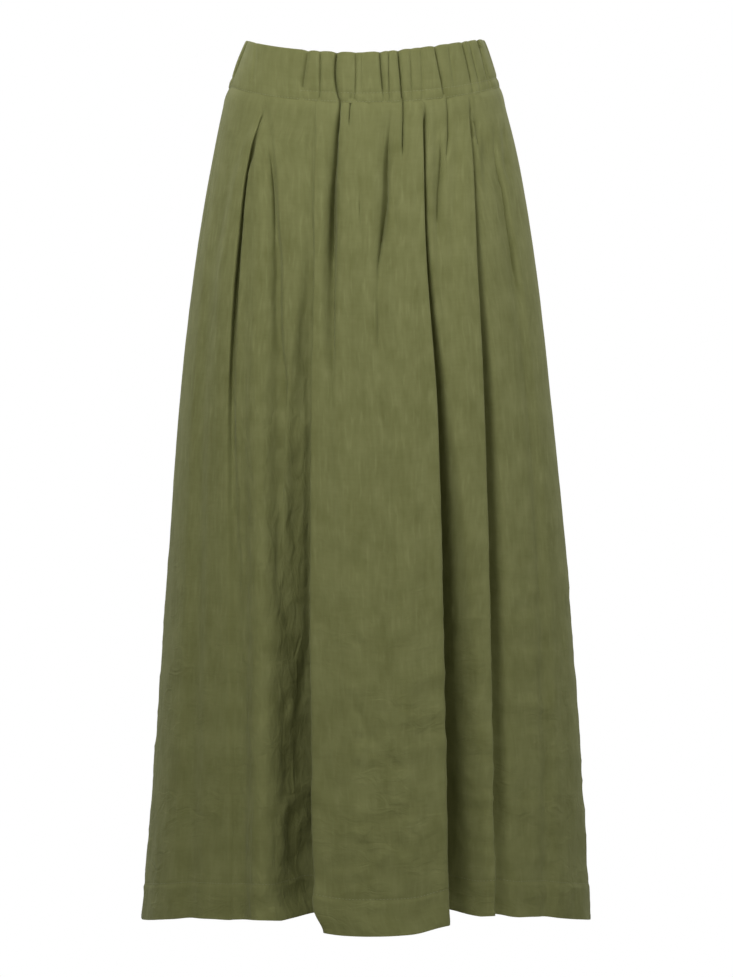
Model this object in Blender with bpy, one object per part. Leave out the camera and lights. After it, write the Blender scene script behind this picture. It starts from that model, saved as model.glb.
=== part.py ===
"""Linen midi skirt, worn shape with no wearer: a gathered elastic waistband over a front with four
stitched-down pleats and a gathered back. Metres, +Z up, the front faces -Y. The origin is the middle
of the waist, where the wearer holds the skirt up.

The cloth is a wall. Each panel is a loft through sections taken from the waist seam to the hem. A
section is an ellipse of the garment's size at that height, moved in and out by the pleats and folds.
Angles run round the garment from the centre front, positive towards +X.
"""

import math
from collections import namedtuple

import bmesh
import bpy
import numpy as np

MM = 0.001

# Walls
CLOTH = 1.2 * MM
HEM_CLOTH = 2.0 * MM
BAND_CLOTH = 2.4 * MM
SEAM_GAP = 0.3 * MM

# Heights at the side seams, and how far each line dips at the centre front and centre back
TOP_EDGE, TOP_DIP_FRONT, TOP_DIP_BACK = 33.5 * MM, 20 * MM, 8 * MM
TOP_RISE_FRONT_RIGHT = 3.5 * MM
WAIST_SEAM, SEAM_DIP_FRONT, SEAM_DIP_BACK = -13.5 * MM, 24.5 * MM, 8 * MM
DIP_EASE, DIP_POWER = 0.03, 0.7
HEM, HEM_LIFT_DIAGONAL, HEM_LIFT_CENTRE = -843.5 * MM, 13 * MM, 3.5 * MM
HEM_ALLOWANCE = 35 * MM
HEM_LIFT_IN_RECESS = 0.4

# Where the hem hangs higher or lower than its even line: degrees, millimetres up, spread in degrees
HemTrim = namedtuple("HemTrim", "at lift spread")
HEM_TRIMS = [
    HemTrim(at=-54, lift=-2.5, spread=30),
    HemTrim(at=-22, lift=6, spread=17),
    HemTrim(at=19, lift=3.5, spread=9),
    HemTrim(at=52, lift=-2.5, spread=30),
]

# The garment's half width and half depths: at the waist seam, filled out over the hip, then flared
WAIST_HALF_WIDTH, WAIST_HALF_DEPTH = 135.5 * MM, 88 * MM
BAND_TAPER_WIDTH, BAND_TAPER_DEPTH = 0.36, 0.15
HIP_WIDTH, HIP_WIDTH_OVER, FLARE_WIDTH = 33.8 * MM, 160 * MM, 0.065
HIP_FRONT, HIP_FRONT_OVER, FLARE_FRONT = 34 * MM, 150 * MM, 0.070
HIP_BACK, HIP_BACK_OVER, FLARE_BACK = 36 * MM, 130 * MM, 0.066

# The lower part hangs a little to the right of the waist
SWAY, SWAY_HEIGHT, SWAY_REACH = 2.8 * MM, -0.66, 0.34

# Side seams, in degrees from the centre front
LEFT_SEAM, RIGHT_SEAM = -78.0, 97.0

# Distances below the waist seam at which the tables give their values
LEVELS = np.array([0, 22, 60, 150, 300, 520, 830]) * MM
SKIRT_LENGTH = LEVELS[-1]

# The tightest a pleat's cloth turns, and how its S-shaped turn reaches out at its bends
TIGHTEST_TURN, SHORTEST_RUN = 2.5 * MM, 6 * MM
TURN_REACH, TURN_BEND, TURN_START, RUN_REACH = 0.0962, 3.46, 6.0, 0.3
PLEAT_FLAT = 0.35

# A pleat's cloth steps from one level to another, and its folded edge lies at x. It turns back under
# itself by about a fifth of turn. The part on its left stands out by left, the part on its right by
# right, and each dies away over its own spread. All in millimetres, a value for each of LEVELS.
Pleat = namedtuple("Pleat", "name x left right turn left_spread right_spread")
PLEATS = [
    Pleat(
        name="outer_left",
        x=(-102, -107, -117, -128, -135.6, -133, -131),
        left=(0, 1, 3, 5, 3, 1, 0.5),
        right=(0, -2, -6, -9, -4, -2, -1),
        turn=(0, 6, 16, 30, 5, 0, 0),
        left_spread=(10, 12, 16, 24, 20, 22, 24),
        right_spread=(4, 4.5, 5, 7, 10, 18, 22),
    ),
    Pleat(
        name="inner_left",
        x=(-48, -48, -50, -49.5, -52.5, -53.5, -49.5),
        left=(0, -1, -1, -3, -12, -32, -44),
        right=(0, 1, 1, 2, 5, 9, 12),
        turn=(0, 2, 3, 5, 18, 60, 95),
        left_spread=(6, 8, 10, 14, 26, 42, 54),
        right_spread=(10, 12, 14, 24, 40, 60, 64),
    ),
    Pleat(
        name="inner_right",
        x=(56, 56.2, 57, 59, 69.6, 75.6, 80.5),
        left=(0, 1, 2.5, 4, 7, 11, 14),
        right=(0, -3.5, -8, -11, -18, -31, -41),
        turn=(0, 9, 22, 34, 50, 90, 110),
        left_spread=(15, 17, 20, 30, 44, 56, 64),
        right_spread=(4, 4.5, 5, 9, 22, 36, 50),
    ),
    Pleat(
        name="outer_right",
        x=(103, 104, 106.4, 109.8, 116.4, 122.5, 127),
        left=(0, 1, 2.5, 4, 6, 8, 8),
        right=(0, -3, -7.5, -11.5, -18, -19, -5),
        turn=(0, 8, 20, 32, 44, 40, 8),
        left_spread=(12, 14, 16, 24, 34, 38, 38),
        right_spread=(4.5, 5, 6, 10, 21, 26, 24),
    ),
]

Turn = namedtuple("Turn", "angle back run")

# Soft folds of the front: x and how far the fold stands out (in, where negative) at each of LEVELS,
# and how far it spreads to each side at the hem. It is FOLD_TOP_SPREAD of that at the waist.
Fold = namedtuple("Fold", "x out left right")
FOLD_TOP_SPREAD = 0.7
FRONT_FOLDS = [
    Fold(x=(-112, -120, -134, -150, -162, -170, -176), out=(0, 0, 0, -1, -3, -4, -4), left=22, right=26),
    Fold(x=(-108, -107, -106, -106, -106, -104, -101), out=(0, 0, 2, 3, 6, 9, 12), left=20, right=26),
    Fold(x=(-100, -96, -93, -88, -87, -86, -86), out=(0, -1, -3, -5, -4, -2, 0), left=16, right=8),
    Fold(x=(-27, -28, -29, -32, -34, -35, -35), out=(-2, -8, -10, -9, -3, 0, 0), left=20, right=12),
    Fold(x=(-14, -15, -16, -18, -20, -20, -20), out=(-1, -4, -1, 0, 0, 0, 0), left=10, right=8),
    Fold(x=(12, 12, 12, 12, 12, 12, 12), out=(0, 0, 0, 2, 4, 7, 8), left=56, right=50),
    Fold(x=(24, 24, 20, 16, 12, 10, 10), out=(-1, -6, -6, -6, -2, 0, 0), left=16, right=14),
    Fold(x=(35, 36, 37, 38, 40, 40, 40), out=(-1, -5, -3, 0, 0, 0, 0), left=10, right=8),
    Fold(x=(68, 70, 71, 72, 80, 90, 90), out=(0, -1, -3, -2, 0, 0, 0), left=10, right=10),
    Fold(x=(104, 111, 124, 142, 160, 170, 176), out=(0, -2, -3, -4, -3, -3, -3), left=14, right=20),
]

# Soft folds of the back: degrees at the waist and at the hem, depth at the hem, spread at the hem
BackFold = namedtuple("BackFold", "waist hem depth left right")
BACK_FOLDS = [
    BackFold(waist=110, hem=113, depth=13, left=26, right=30),
    BackFold(waist=128, hem=132, depth=31, left=34, right=22),
    BackFold(waist=146, hem=150, depth=22, left=24, right=32),
    BackFold(waist=163, hem=167, depth=38, left=30, right=26),
    BackFold(waist=182, hem=184, depth=24, left=24, right=28),
    BackFold(waist=200, hem=201, depth=35, left=26, right=34),
    BackFold(waist=219, hem=221, depth=27, left=30, right=24),
    BackFold(waist=238, hem=243, depth=20, left=24, right=30),
    BackFold(waist=255, hem=262, depth=11, left=26, right=24),
]
BACK_FULLNESS, BACK_FOLD_GROWTH = 8 * MM, 0.8
BACK_GATHER_DEPTH, BACK_GATHER_REACH, BACK_GATHER_SPREAD = 3 * MM, 70 * MM, 9 * MM

# Gathers of the waistband's front: x at the top edge and at the waist seam, depth and half width
Gather = namedtuple("Gather", "top seam depth width")
BAND_GATHERS = [
    Gather(top=-110, seam=-118, depth=1.2, width=3.0),
    Gather(top=-57, seam=-62, depth=3.6, width=2.6),
    Gather(top=-45, seam=-46, depth=1.8, width=2.4),
    Gather(top=-27, seam=-25, depth=4.0, width=2.8),
    Gather(top=-10.5, seam=-14, depth=2.6, width=2.6),
    Gather(top=2, seam=3, depth=1.6, width=2.6),
    Gather(top=14, seam=19, depth=3.8, width=2.6),
    Gather(top=23, seam=24, depth=2.4, width=2.2),
    Gather(top=32, seam=36, depth=4.0, width=2.8),
    Gather(top=45, seam=48, depth=1.8, width=2.6),
    Gather(top=54, seam=59, depth=2.0, width=2.6),
    Gather(top=68, seam=76, depth=3.8, width=2.8),
    Gather(top=82, seam=90, depth=1.6, width=2.8),
    Gather(top=95, seam=103, depth=3.0, width=2.8),
    Gather(top=106, seam=114, depth=2.6, width=2.6),
    Gather(top=116, seam=128, depth=2.4, width=2.4),
]
BAND_PUFF = 1.2 * MM
BAND_INNER_RELIEF = 0.75
BAND_END_COLUMNS = 5

# A gather's corners lie beside its bottom, and its flanks fall off like a bell, in half widths
SHOULDER, BELL = 0.8, 0.75

# The back's gathers: how many, their mean place, depth and half width, and how much each one varies
BACK_GATHERS = 26
GATHER_SHIFTS = (0.005, 0.004)
BACK_GATHER_SLANT = math.radians(1.2)
BACK_GATHER_DEPTHS = (2.9 * MM, 1.1 * MM)
BACK_GATHER_WIDTHS = (2.7 * MM, 0.3 * MM)

# The waves by which they vary, in radians from one gather to the next
SHIFT_WAVES, SLANT_WAVE, DEPTH_WAVE, WIDTH_WAVE = (7.3, 2.1), 2.9, 1.7, 2.3

# Shares of the waistband's height at its rows, and how much of the gathers each row shows
BAND_ROWS = [0.0, 0.10, 0.45, 0.76, 0.84, 1.0]
BAND_RELIEF = [0.75, 1.0, 1.0, 0.9, 0.25, 0.35]
BAND_STAND_OUT = [0.0, 0.7, 1.0, 0.8, 0.0, 0.1]

# Rows of the panels, as shares of the way from waist seam to hem, and columns between the pleats
PANEL_ROWS = [0, 0.012, 0.03, 0.055, 0.09, 0.135, 0.185, 0.235, 0.28, 0.36, 0.46, 0.57, 0.68, 0.79, 0.89]
HEM_STEP = 0.002
FRONT_SPANS = [10, 9, 18, 8, 12]
TURN_STEPS = 8
BACK_COLUMNS = 66

# In-seam pockets: the mouth's place below the waist seam, and the bag's size
MOUTH_TOP, MOUTH_LENGTH, MOUTH_OPEN = 38 * MM, 150 * MM, 2.4 * MM
BAG_TOP, BAG_BOTTOM, BAG_REACH, BAG_CLOTH = 20 * MM, 240 * MM, 92 * MM, 2.0 * MM
BAG_STRAIGHT, BAG_ROUNDING, BAG_HANG, BAG_COLUMNS = 0.4, 0.85, 19 * MM, 8

# An edge sharper than this shows as a line; a sine no further from 0 than this has its angle read
SHARP_EDGE, SINE_LIMIT = math.radians(60), 0.999

LINEN = (0.19, 0.2, 0.075, 1.0)
LINEN_ROUGHNESS = 0.85


def smooth_path(values, depth):
    """Smooth curve through one value for each of LEVELS, read at a depth below the waist seam."""
    values = np.array(values, float)
    slopes = np.gradient(values, LEVELS)
    i = int(np.clip(np.searchsorted(LEVELS, depth) - 1, 0, len(LEVELS) - 2))
    step = LEVELS[i + 1] - LEVELS[i]
    u = (depth - LEVELS[i]) / step
    rise = u * u * (3 - 2 * u)
    bend_in = (u**3 - 2 * u * u + u) * slopes[i] * step
    bend_out = (u**3 - u * u) * slopes[i + 1] * step
    return values[i] * (1 - rise) + values[i + 1] * rise + bend_in + bend_out


def window(distance, spread, flat=0.0):
    """1 over the flat share of the spread, easing to 0 at its end."""
    share = np.clip((np.abs(distance) / spread - flat) / (1 - flat), 0, 1)
    return 0.5 + 0.5 * np.cos(np.pi * share)


def dip(angle, front, back):
    """How far a line round the waist dips at this angle: nothing at 90 degrees, with no kink there."""
    c = np.cos(angle)
    eased = (c * c + DIP_EASE) ** DIP_POWER - DIP_EASE**DIP_POWER
    return np.where(c > 0, front, back) * eased / ((1 + DIP_EASE) ** DIP_POWER - DIP_EASE**DIP_POWER)


def top_edge(angle):
    front_right = np.sin(2 * np.clip(angle, 0, 0.5 * math.pi))
    return TOP_EDGE - dip(angle, TOP_DIP_FRONT, TOP_DIP_BACK) + TOP_RISE_FRONT_RIGHT * front_right


def waist_seam(angle):
    return WAIST_SEAM - dip(angle, SEAM_DIP_FRONT, SEAM_DIP_BACK)


def hem_line(angle):
    lift = HEM_LIFT_DIAGONAL * np.sin(2 * angle) ** 2 + HEM_LIFT_CENTRE * np.cos(angle) ** 2
    for trim in HEM_TRIMS:
        lift = lift + trim.lift * MM * window(angle - math.radians(trim.at), math.radians(trim.spread))
    return HEM + lift


def filled(z, base, taper, hip, over, flare):
    """A half width or depth at height z: tapered in the band, filled out over the hip, then flared."""
    below = np.maximum(WAIST_SEAM - z, 0)
    above = np.maximum(z - WAIST_SEAM, 0)
    return base - taper * above + hip * (1 - np.exp(-below / over)) + flare * below


def half_width(z):
    return filled(z, WAIST_HALF_WIDTH, BAND_TAPER_WIDTH, HIP_WIDTH, HIP_WIDTH_OVER, FLARE_WIDTH)


def half_depth(angle, z):
    front = filled(z, WAIST_HALF_DEPTH, BAND_TAPER_DEPTH, HIP_FRONT, HIP_FRONT_OVER, FLARE_FRONT)
    back = filled(z, WAIST_HALF_DEPTH, BAND_TAPER_DEPTH, HIP_BACK, HIP_BACK_OVER, FLARE_BACK)
    return np.where(np.cos(angle) > 0, front, back)


def swayed(z):
    """How far the garment's middle lies to the right at height z."""
    return SWAY * window(z - SWAY_HEIGHT, SWAY_REACH)


def ellipse_point(angle, z, out, along):
    """Points on the garment's ellipse at height z, moved outwards and along it."""
    wide, deep = half_width(z), half_depth(angle, z)
    x, y = wide * np.sin(angle) + swayed(z), -deep * np.cos(angle)
    tx, ty = wide * np.cos(angle), deep * np.sin(angle)
    size = np.hypot(tx, ty)
    tx, ty = tx / size, ty / size
    return np.stack([x + out * ty + along * tx, y - out * tx + along * ty], axis=-1)


def angle_at(points, z):
    """The angle round the garment at which each point lies."""
    wide, deep = half_width(z), half_depth(0.0, z)
    angle = np.arctan2((points[..., 0] - swayed(z)) / wide, -points[..., 1] / deep)
    return np.where(angle < math.radians(LEFT_SEAM) - 0.05, angle + 2 * math.pi, angle)


def outward(points):
    """The section's normals, from the run of its points, pointing out of the garment."""
    run = np.gradient(points, axis=0)
    run /= np.linalg.norm(run, axis=1, keepdims=True)
    return np.stack([run[:, 1], -run[:, 0]], axis=1)


def seam_angles(depth, left_open, right_open):
    """Where a panel's cloth ends at each side seam: half the seam gap, or more at a pocket's mouth."""
    share = np.clip((depth - MOUTH_TOP) / MOUTH_LENGTH, 0, 1)
    mouth = MOUTH_OPEN * math.sin(math.pi * share)
    radius = float(half_depth(0.0, WAIST_SEAM - depth))
    half_gap = 0.5 * SEAM_GAP
    return (half_gap + left_open * mouth) / radius, (half_gap + right_open * mouth) / radius


def pleat_turn(pleat, depth, z):
    """Where a pleat's cloth turns, how far it runs on and how far back, so that its edge lies at x."""
    edge, left, right = (smooth_path(v, depth) * MM for v in (pleat.x, pleat.left, pleat.right))
    edge -= float(swayed(z))
    step = abs(left - right)
    back = min(smooth_path(pleat.turn, depth) * MM, step * step / (TURN_BEND * TIGHTEST_TURN))
    run = max(math.sqrt(TURN_START * step * TIGHTEST_TURN), SHORTEST_RUN) - back
    run = max(run, 0)
    facing = 1 if left > right else -1
    wide, deep = float(half_width(z)), float(half_depth(0.0, z))
    angle = math.asin(edge / wide)
    for _ in range(4):
        size = math.hypot(wide * math.cos(angle), deep * math.sin(angle))
        outwards = max(left, right) * deep * math.sin(angle) / size
        sideways = facing * (TURN_REACH * back - RUN_REACH * run) * wide * math.cos(angle) / size
        angle = math.asin((edge - outwards - sideways) / wide)
    return Turn(angle, back, run)


def front_section(share):
    """The front's cloth line at a share of the way down: each column's angle, out and along."""
    depth = share * SKIRT_LENGTH
    z = waist_seam(0.0) * (1 - share) + hem_line(0.0) * share
    wide = float(half_width(z))
    radius = 0.5 * (wide + float(half_depth(0.0, z)))
    turns = [pleat_turn(pleat, depth, z) for pleat in PLEATS]
    at = [turn.angle for turn in turns]
    half_runs = [0.5 * turn.run / radius for turn in turns]
    gap_left, gap_right = seam_angles(depth, 1.0, 1.0)
    starts = [math.radians(LEFT_SEAM) + gap_left, *(a + h for a, h in zip(at, half_runs))]
    ends = [*(a - h for a, h in zip(at, half_runs)), math.radians(RIGHT_SEAM) - gap_right]

    def side(index, zone, angle):
        """What one pleat adds at an angle, on its left or its right."""
        pleat = PLEATS[index]
        if zone <= index:
            out, spread = smooth_path(pleat.left, depth), smooth_path(pleat.left_spread, depth)
        else:
            out, spread = smooth_path(pleat.right, depth), smooth_path(pleat.right_spread, depth)
        return out * MM * window((angle - at[index]) * radius, spread * MM, PLEAT_FLAT)

    def folds(angle):
        """What the soft folds add at an angle."""
        grown = FOLD_TOP_SPREAD + (1 - FOLD_TOP_SPREAD) * share
        total = 0 * angle
        for fold in FRONT_FOLDS:
            away = (angle - angle_of_x(smooth_path(fold.x, depth) * MM, wide)) * radius
            spread = np.where(away < 0, fold.left, fold.right) * grown * MM
            total = total + smooth_path(fold.out, depth) * MM * window(away, spread)
        return total

    def level(zone, angle):
        return folds(angle) + sum(side(i, zone, angle) for i in range(len(PLEATS)))

    angles, outs, alongs = [], [], []
    for zone, columns in enumerate(FRONT_SPANS):
        span = np.linspace(starts[zone], ends[zone], columns + 1)
        angles.append(span)
        outs.append(level(zone, span))
        alongs.append(np.zeros(columns + 1))
        if zone < len(PLEATS):
            v = np.linspace(0, 1, TURN_STEPS + 1)[1:-1]
            rise = v * v * (3 - 2 * v)
            before, after = ends[zone], starts[zone + 1]
            angles.append(before * (1 - v) + after * v)
            outs.append(level(zone, before) * (1 - rise) + level(zone + 1, after) * rise)
            alongs.append(turns[zone].back * v * (2 * v - 1) * (v - 1))
    return np.concatenate(angles), np.concatenate(outs), np.concatenate(alongs)


def back_gather_angles():
    """The back's gathers, spaced unevenly by two waves."""
    turn = np.arange(BACK_GATHERS)
    share = (turn + 0.5) / BACK_GATHERS
    for shift, wave in zip(GATHER_SHIFTS, SHIFT_WAVES):
        share = share + shift * np.sin(wave * turn)
    start, end = math.radians(RIGHT_SEAM), math.radians(LEFT_SEAM) + 2 * math.pi
    return start + (end - start) * share


def back_section(share):
    """The back's cloth line at a share of the way down: each column's angle, out and along."""
    depth = share * SKIRT_LENGTH
    z = waist_seam(math.pi) * (1 - share) + hem_line(math.pi) * share
    radius = 0.5 * (float(half_width(z)) + float(half_depth(math.pi, z)))
    gap_left, gap_right = seam_angles(depth, 0.0, 0.0)
    start = math.radians(RIGHT_SEAM) + gap_right
    end = math.radians(LEFT_SEAM) + 2 * math.pi - gap_left
    angle = np.linspace(start, end, BACK_COLUMNS + 1)
    out = BACK_FULLNESS * share * np.sin(math.pi * (angle - start) / (end - start))
    grown = FOLD_TOP_SPREAD + (1 - FOLD_TOP_SPREAD) * share
    for fold in BACK_FOLDS:
        at = math.radians(fold.waist + (fold.hem - fold.waist) * share)
        away = (angle - at) * radius
        spread = np.where(away < 0, fold.left, fold.right) * grown * MM
        out = out - fold.depth * MM * share**BACK_FOLD_GROWTH * window(away, spread)
    fading = BACK_GATHER_DEPTH * math.exp(-((depth / BACK_GATHER_REACH) ** 2))
    for at in back_gather_angles()[::2]:
        out = out - fading * window((angle - at) * radius, BACK_GATHER_SPREAD)
    return angle, out, 0 * angle


def cloth_rows(line, share, thickness):
    """The outer and inner points of a wall along a cloth line, at a share of the way down a panel."""
    angle, out, along = line
    z = waist_seam(angle) * (1 - share) + hem_line(angle) * share
    middle = ellipse_point(angle, z, out, along)
    normal = outward(middle)
    lift = HEM_LIFT_IN_RECESS * np.maximum(-out, 0) * share**2
    rows = []
    for side in (0.5, -0.5):
        points = middle + side * thickness * normal
        there = angle_at(points, z)
        height = waist_seam(there) * (1 - share) + hem_line(there) * share + lift
        rows.append(np.column_stack([points, height]))
    return rows


def band_row(gathers, ends, index):
    """The outer and inner points of a waistband's wall on one of BAND_ROWS."""
    share = BAND_ROWS[index]
    angle = [ends[0]]
    for top, seam, _depth, width in gathers:
        at = top * (1 - share) + seam * share
        angle.append(0.5 * (angle[-1] + at - SHOULDER * width))
        angle += [at - SHOULDER * width, at, at + SHOULDER * width]
    angle = np.array([*angle, *np.linspace(angle[-1], ends[1], BAND_END_COLUMNS + 1)[1:]])
    z = top_edge(angle) * (1 - share) + waist_seam(angle) * share + (SEAM_GAP if share == 1 else 0)
    out = BAND_PUFF * BAND_STAND_OUT[index] + 0 * angle
    for top, seam, depth, width in gathers:
        at = top * (1 - share) + seam * share
        out -= depth * BAND_RELIEF[index] * np.exp(-(((angle - at) / (BELL * width)) ** 2))
    base = ellipse_point(angle, z, 0 * angle, 0 * angle)
    normal = outward(base)
    rows = []
    for side, relief in ((0.5, out), (-0.5, out * BAND_INNER_RELIEF)):
        points = base + (side * BAND_CLOTH + relief)[:, None] * normal
        there = angle_at(points, z)
        height = top_edge(there) * (1 - share) + waist_seam(there) * share
        rows.append(np.column_stack([points, height + (SEAM_GAP if share == 1 else 0)]))
    return rows


def angle_of_x(x, wide):
    """The angle at which a section of this half width lies at x."""
    return math.asin(np.clip(x / wide, -SINE_LIMIT, SINE_LIMIT))


def front_gather_angles():
    """The front's gathers as angles: top, seam, depth and half width of each."""
    radius = 0.5 * (WAIST_HALF_WIDTH + WAIST_HALF_DEPTH)
    found = []
    for g in BAND_GATHERS:
        top = angle_of_x(g.top * MM, float(half_width(top_edge(0.0))))
        seam = angle_of_x(g.seam * MM, float(half_width(waist_seam(0.0))))
        found.append((top, seam, g.depth * MM, g.width * MM / radius))
    return found


def back_band_gathers():
    """The back's gathers as angles, their depths and widths varied by slow waves."""
    radius = 0.5 * (WAIST_HALF_WIDTH + WAIST_HALF_DEPTH)
    found = []
    for i, at in enumerate(back_gather_angles()):
        slant = BACK_GATHER_SLANT * math.sin(SLANT_WAVE * i)
        depth = BACK_GATHER_DEPTHS[0] + BACK_GATHER_DEPTHS[1] * math.sin(DEPTH_WAVE * i)
        width = (BACK_GATHER_WIDTHS[0] + BACK_GATHER_WIDTHS[1] * math.cos(WIDTH_WAVE * i)) / radius
        found.append((at - slant, at + slant, depth, width))
    return found


def wall(name, rows, colour):
    """A closed wall lofted through rows of outer and inner points, in the part's collection."""
    outer = np.array([row[0] for row in rows])
    inner = np.array([row[1] for row in rows])
    count, columns = outer.shape[:2]
    bm = bmesh.new()
    grid = [[[bm.verts.new(p) for p in line] for line in face] for face in (outer, inner)]
    for i in range(count - 1):
        for j in range(columns - 1):
            near, far = grid
            bm.faces.new((near[i][j], near[i + 1][j], near[i + 1][j + 1], near[i][j + 1]))
            bm.faces.new((far[i][j], far[i][j + 1], far[i + 1][j + 1], far[i + 1][j]))
    for line in (0, count - 1):
        for j in range(columns - 1):
            bm.faces.new((grid[0][line][j], grid[0][line][j + 1], grid[1][line][j + 1], grid[1][line][j]))
    for column in (0, columns - 1):
        for i in range(count - 1):
            bm.faces.new((grid[0][i][column], grid[0][i + 1][column], grid[1][i + 1][column], grid[1][i][column]))
    bmesh.ops.triangulate(bm, faces=bm.faces[:])
    bmesh.ops.recalc_face_normals(bm, faces=bm.faces[:])
    mesh = bpy.data.meshes.new(name)
    bm.to_mesh(mesh)
    bm.free()
    mesh.shade_smooth()
    mesh.set_sharp_from_angle(angle=SHARP_EDGE)
    mesh.materials.append(colour)
    part = bpy.data.objects.new(name, mesh)
    bpy.data.collections["midi_skirt"].objects.link(part)
    return part


def panel(name, section, colour):
    """A skirt panel: one layer of cloth, and two where the hem is turned up."""
    turned_up = 1 - HEM_ALLOWANCE / SKIRT_LENGTH
    steps = [(share, CLOTH) for share in PANEL_ROWS]
    steps += [(turned_up - HEM_STEP, CLOTH), (turned_up + HEM_STEP, HEM_CLOTH), (1.0, HEM_CLOTH)]
    return wall(name, [cloth_rows(section(share), share, cloth) for share, cloth in steps], colour)


def waistband(name, gathers, start, end, colour):
    """A gathered casing over its elastic, flat along the stitched strip at the waist seam."""
    half_gap = 0.5 * SEAM_GAP / WAIST_HALF_DEPTH
    ends = (math.radians(start) + half_gap, math.radians(end) - half_gap)
    return wall(name, [band_row(gathers, ends, i) for i in range(len(BAND_ROWS))], colour)


def bag_line(share, lowered, end, towards_front):
    """A pocket bag's cloth line: from the front's edge at a side seam, inwards and clear of the pleats."""
    angle, out, _ = (values[end] for values in front_section(share))
    radius = float(half_depth(0.0, WAIST_SEAM - share * SKIRT_LENGTH))
    reach = BAG_REACH * math.sqrt(1 - BAG_ROUNDING * max((lowered - BAG_STRAIGHT) / (1 - BAG_STRAIGHT), 0) ** 2)
    across = np.linspace(0, 1, BAG_COLUMNS + 1)
    angles = angle + towards_front * across * reach / radius
    outs = out - 0.5 * (CLOTH + BAG_CLOTH) - SEAM_GAP - BAG_HANG * (1 - (1 - across) ** 2)
    order = slice(None, None, towards_front)
    return angles[order], outs[order], 0 * across


def pocket_bag(name, end, towards_front, colour):
    """A flat bag that hangs inside the front from its side seam, with a rounded lower edge."""
    shares = [share for share in PANEL_ROWS if BAG_TOP <= share * SKIRT_LENGTH <= BAG_BOTTOM]
    rows = []
    for share in shares:
        lowered = (share - shares[0]) / (shares[-1] - shares[0])
        rows.append(cloth_rows(bag_line(share, lowered, end, towards_front), share, BAG_CLOTH))
    return wall(name, rows, colour)


def linen():
    material = bpy.data.materials.new("linen")
    material.use_nodes = True
    shader = material.node_tree.nodes["Principled BSDF"]
    shader.inputs["Base Color"].default_value = LINEN
    shader.inputs["Roughness"].default_value = LINEN_ROUGHNESS
    shader.inputs["Metallic"].default_value = 0.0
    return material


def clear_scene():
    for old in list(bpy.data.objects):
        bpy.data.objects.remove(old, do_unlink=True)
    collection = bpy.data.collections.new("midi_skirt")
    bpy.context.scene.collection.children.link(collection)


clear_scene()
cloth = linen()
panel("skirt_front", front_section, cloth)
panel("skirt_back", back_section, cloth)
waistband("waistband_front", front_gather_angles(), LEFT_SEAM, RIGHT_SEAM, cloth)
waistband("waistband_back", back_band_gathers(), RIGHT_SEAM, LEFT_SEAM + 360, cloth)
pocket_bag("pocket_left", 0, 1, cloth)
pocket_bag("pocket_right", -1, -1, cloth)
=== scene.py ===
"""Looks of the midi skirt: pleated and gathered linen panels, waistband, pocket bags and stitching.

Metres, +Z up, the front faces -Y, the origin is the middle of the waist. Angles run round the garment
from the centre front, positive towards +X. Every sheet of cloth is a grid of points, with rows from
the waist down and columns round the garment, that is given its thickness at the end.
"""

import logging
import math
from collections.abc import Callable
from dataclasses import dataclass, field
from enum import Enum

import bpy
import numpy as np
from bpy.types import Material, Node, NodeSocket, Object, World
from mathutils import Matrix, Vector


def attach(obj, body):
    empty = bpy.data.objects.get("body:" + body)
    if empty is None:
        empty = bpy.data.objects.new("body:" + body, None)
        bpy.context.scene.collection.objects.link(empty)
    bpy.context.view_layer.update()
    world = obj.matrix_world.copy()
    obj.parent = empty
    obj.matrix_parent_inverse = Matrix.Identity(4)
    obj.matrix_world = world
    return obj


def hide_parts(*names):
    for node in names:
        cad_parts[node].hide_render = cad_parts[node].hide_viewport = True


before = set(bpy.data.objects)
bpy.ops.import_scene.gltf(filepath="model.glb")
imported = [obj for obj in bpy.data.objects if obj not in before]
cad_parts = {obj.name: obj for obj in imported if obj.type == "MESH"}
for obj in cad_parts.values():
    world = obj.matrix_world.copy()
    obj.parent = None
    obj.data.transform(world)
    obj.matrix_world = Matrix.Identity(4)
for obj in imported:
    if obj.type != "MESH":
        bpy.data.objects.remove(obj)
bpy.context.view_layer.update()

logging.basicConfig(level=logging.INFO, format="%(message)s")
LOG = logging.getLogger("midi_skirt")

MM = 0.001
Array = np.ndarray
Values = Array | float
Pair = tuple[float, float]
Triple = tuple[float, float, float]
Levels = tuple[float, ...]
Rows = tuple[tuple[float, ...], ...]
Colour = Triple
Sockets = dict[str | int, object]
# The least share of something, and the two places between which the rest of it sets in
SetsIn = Triple

# Distances below the waist seam at which the tables give their values
LEVELS = np.array([0, 22, 60, 150, 300, 520, 830]) * MM
SKIRT_LENGTH = float(LEVELS[-1])
# Whole numbers after which the noise repeats
LATTICE = 97
# How many of its widths a crease reaches, how fast its sharp part falls away, and where it starts
CREASE_REACH = 4
CREASE_FALL = 1.4
CREASE_START = -0.02
# Edges sharper than this are shaded as edges
SHARP_ANGLE = math.radians(70)
# Sockets of the two colours on Blender's mix node
MIX_COLOURS = (6, 7)


def smooth_path(values: Levels, depth: float) -> float:
    """Read a smooth curve through one value for each of LEVELS.

    Args:
        values: the curve's value at each of LEVELS.
        depth: distance below the waist seam, in metres.

    Returns:
        The curve's value there.
    """
    heights = np.array(values, float)
    slopes = np.gradient(heights, LEVELS)
    depth = min(max(depth, 0.0), SKIRT_LENGTH)
    i = int(np.clip(np.searchsorted(LEVELS, depth) - 1, 0, len(LEVELS) - 2))
    step = LEVELS[i + 1] - LEVELS[i]
    u = (depth - LEVELS[i]) / step
    rise = u * u * (3 - 2 * u)
    bend_in = (u**3 - 2 * u * u + u) * slopes[i] * step
    bend_out = (u**3 - u * u) * slopes[i + 1] * step
    return float(heights[i] * (1 - rise) + heights[i + 1] * rise + bend_in + bend_out)


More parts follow.
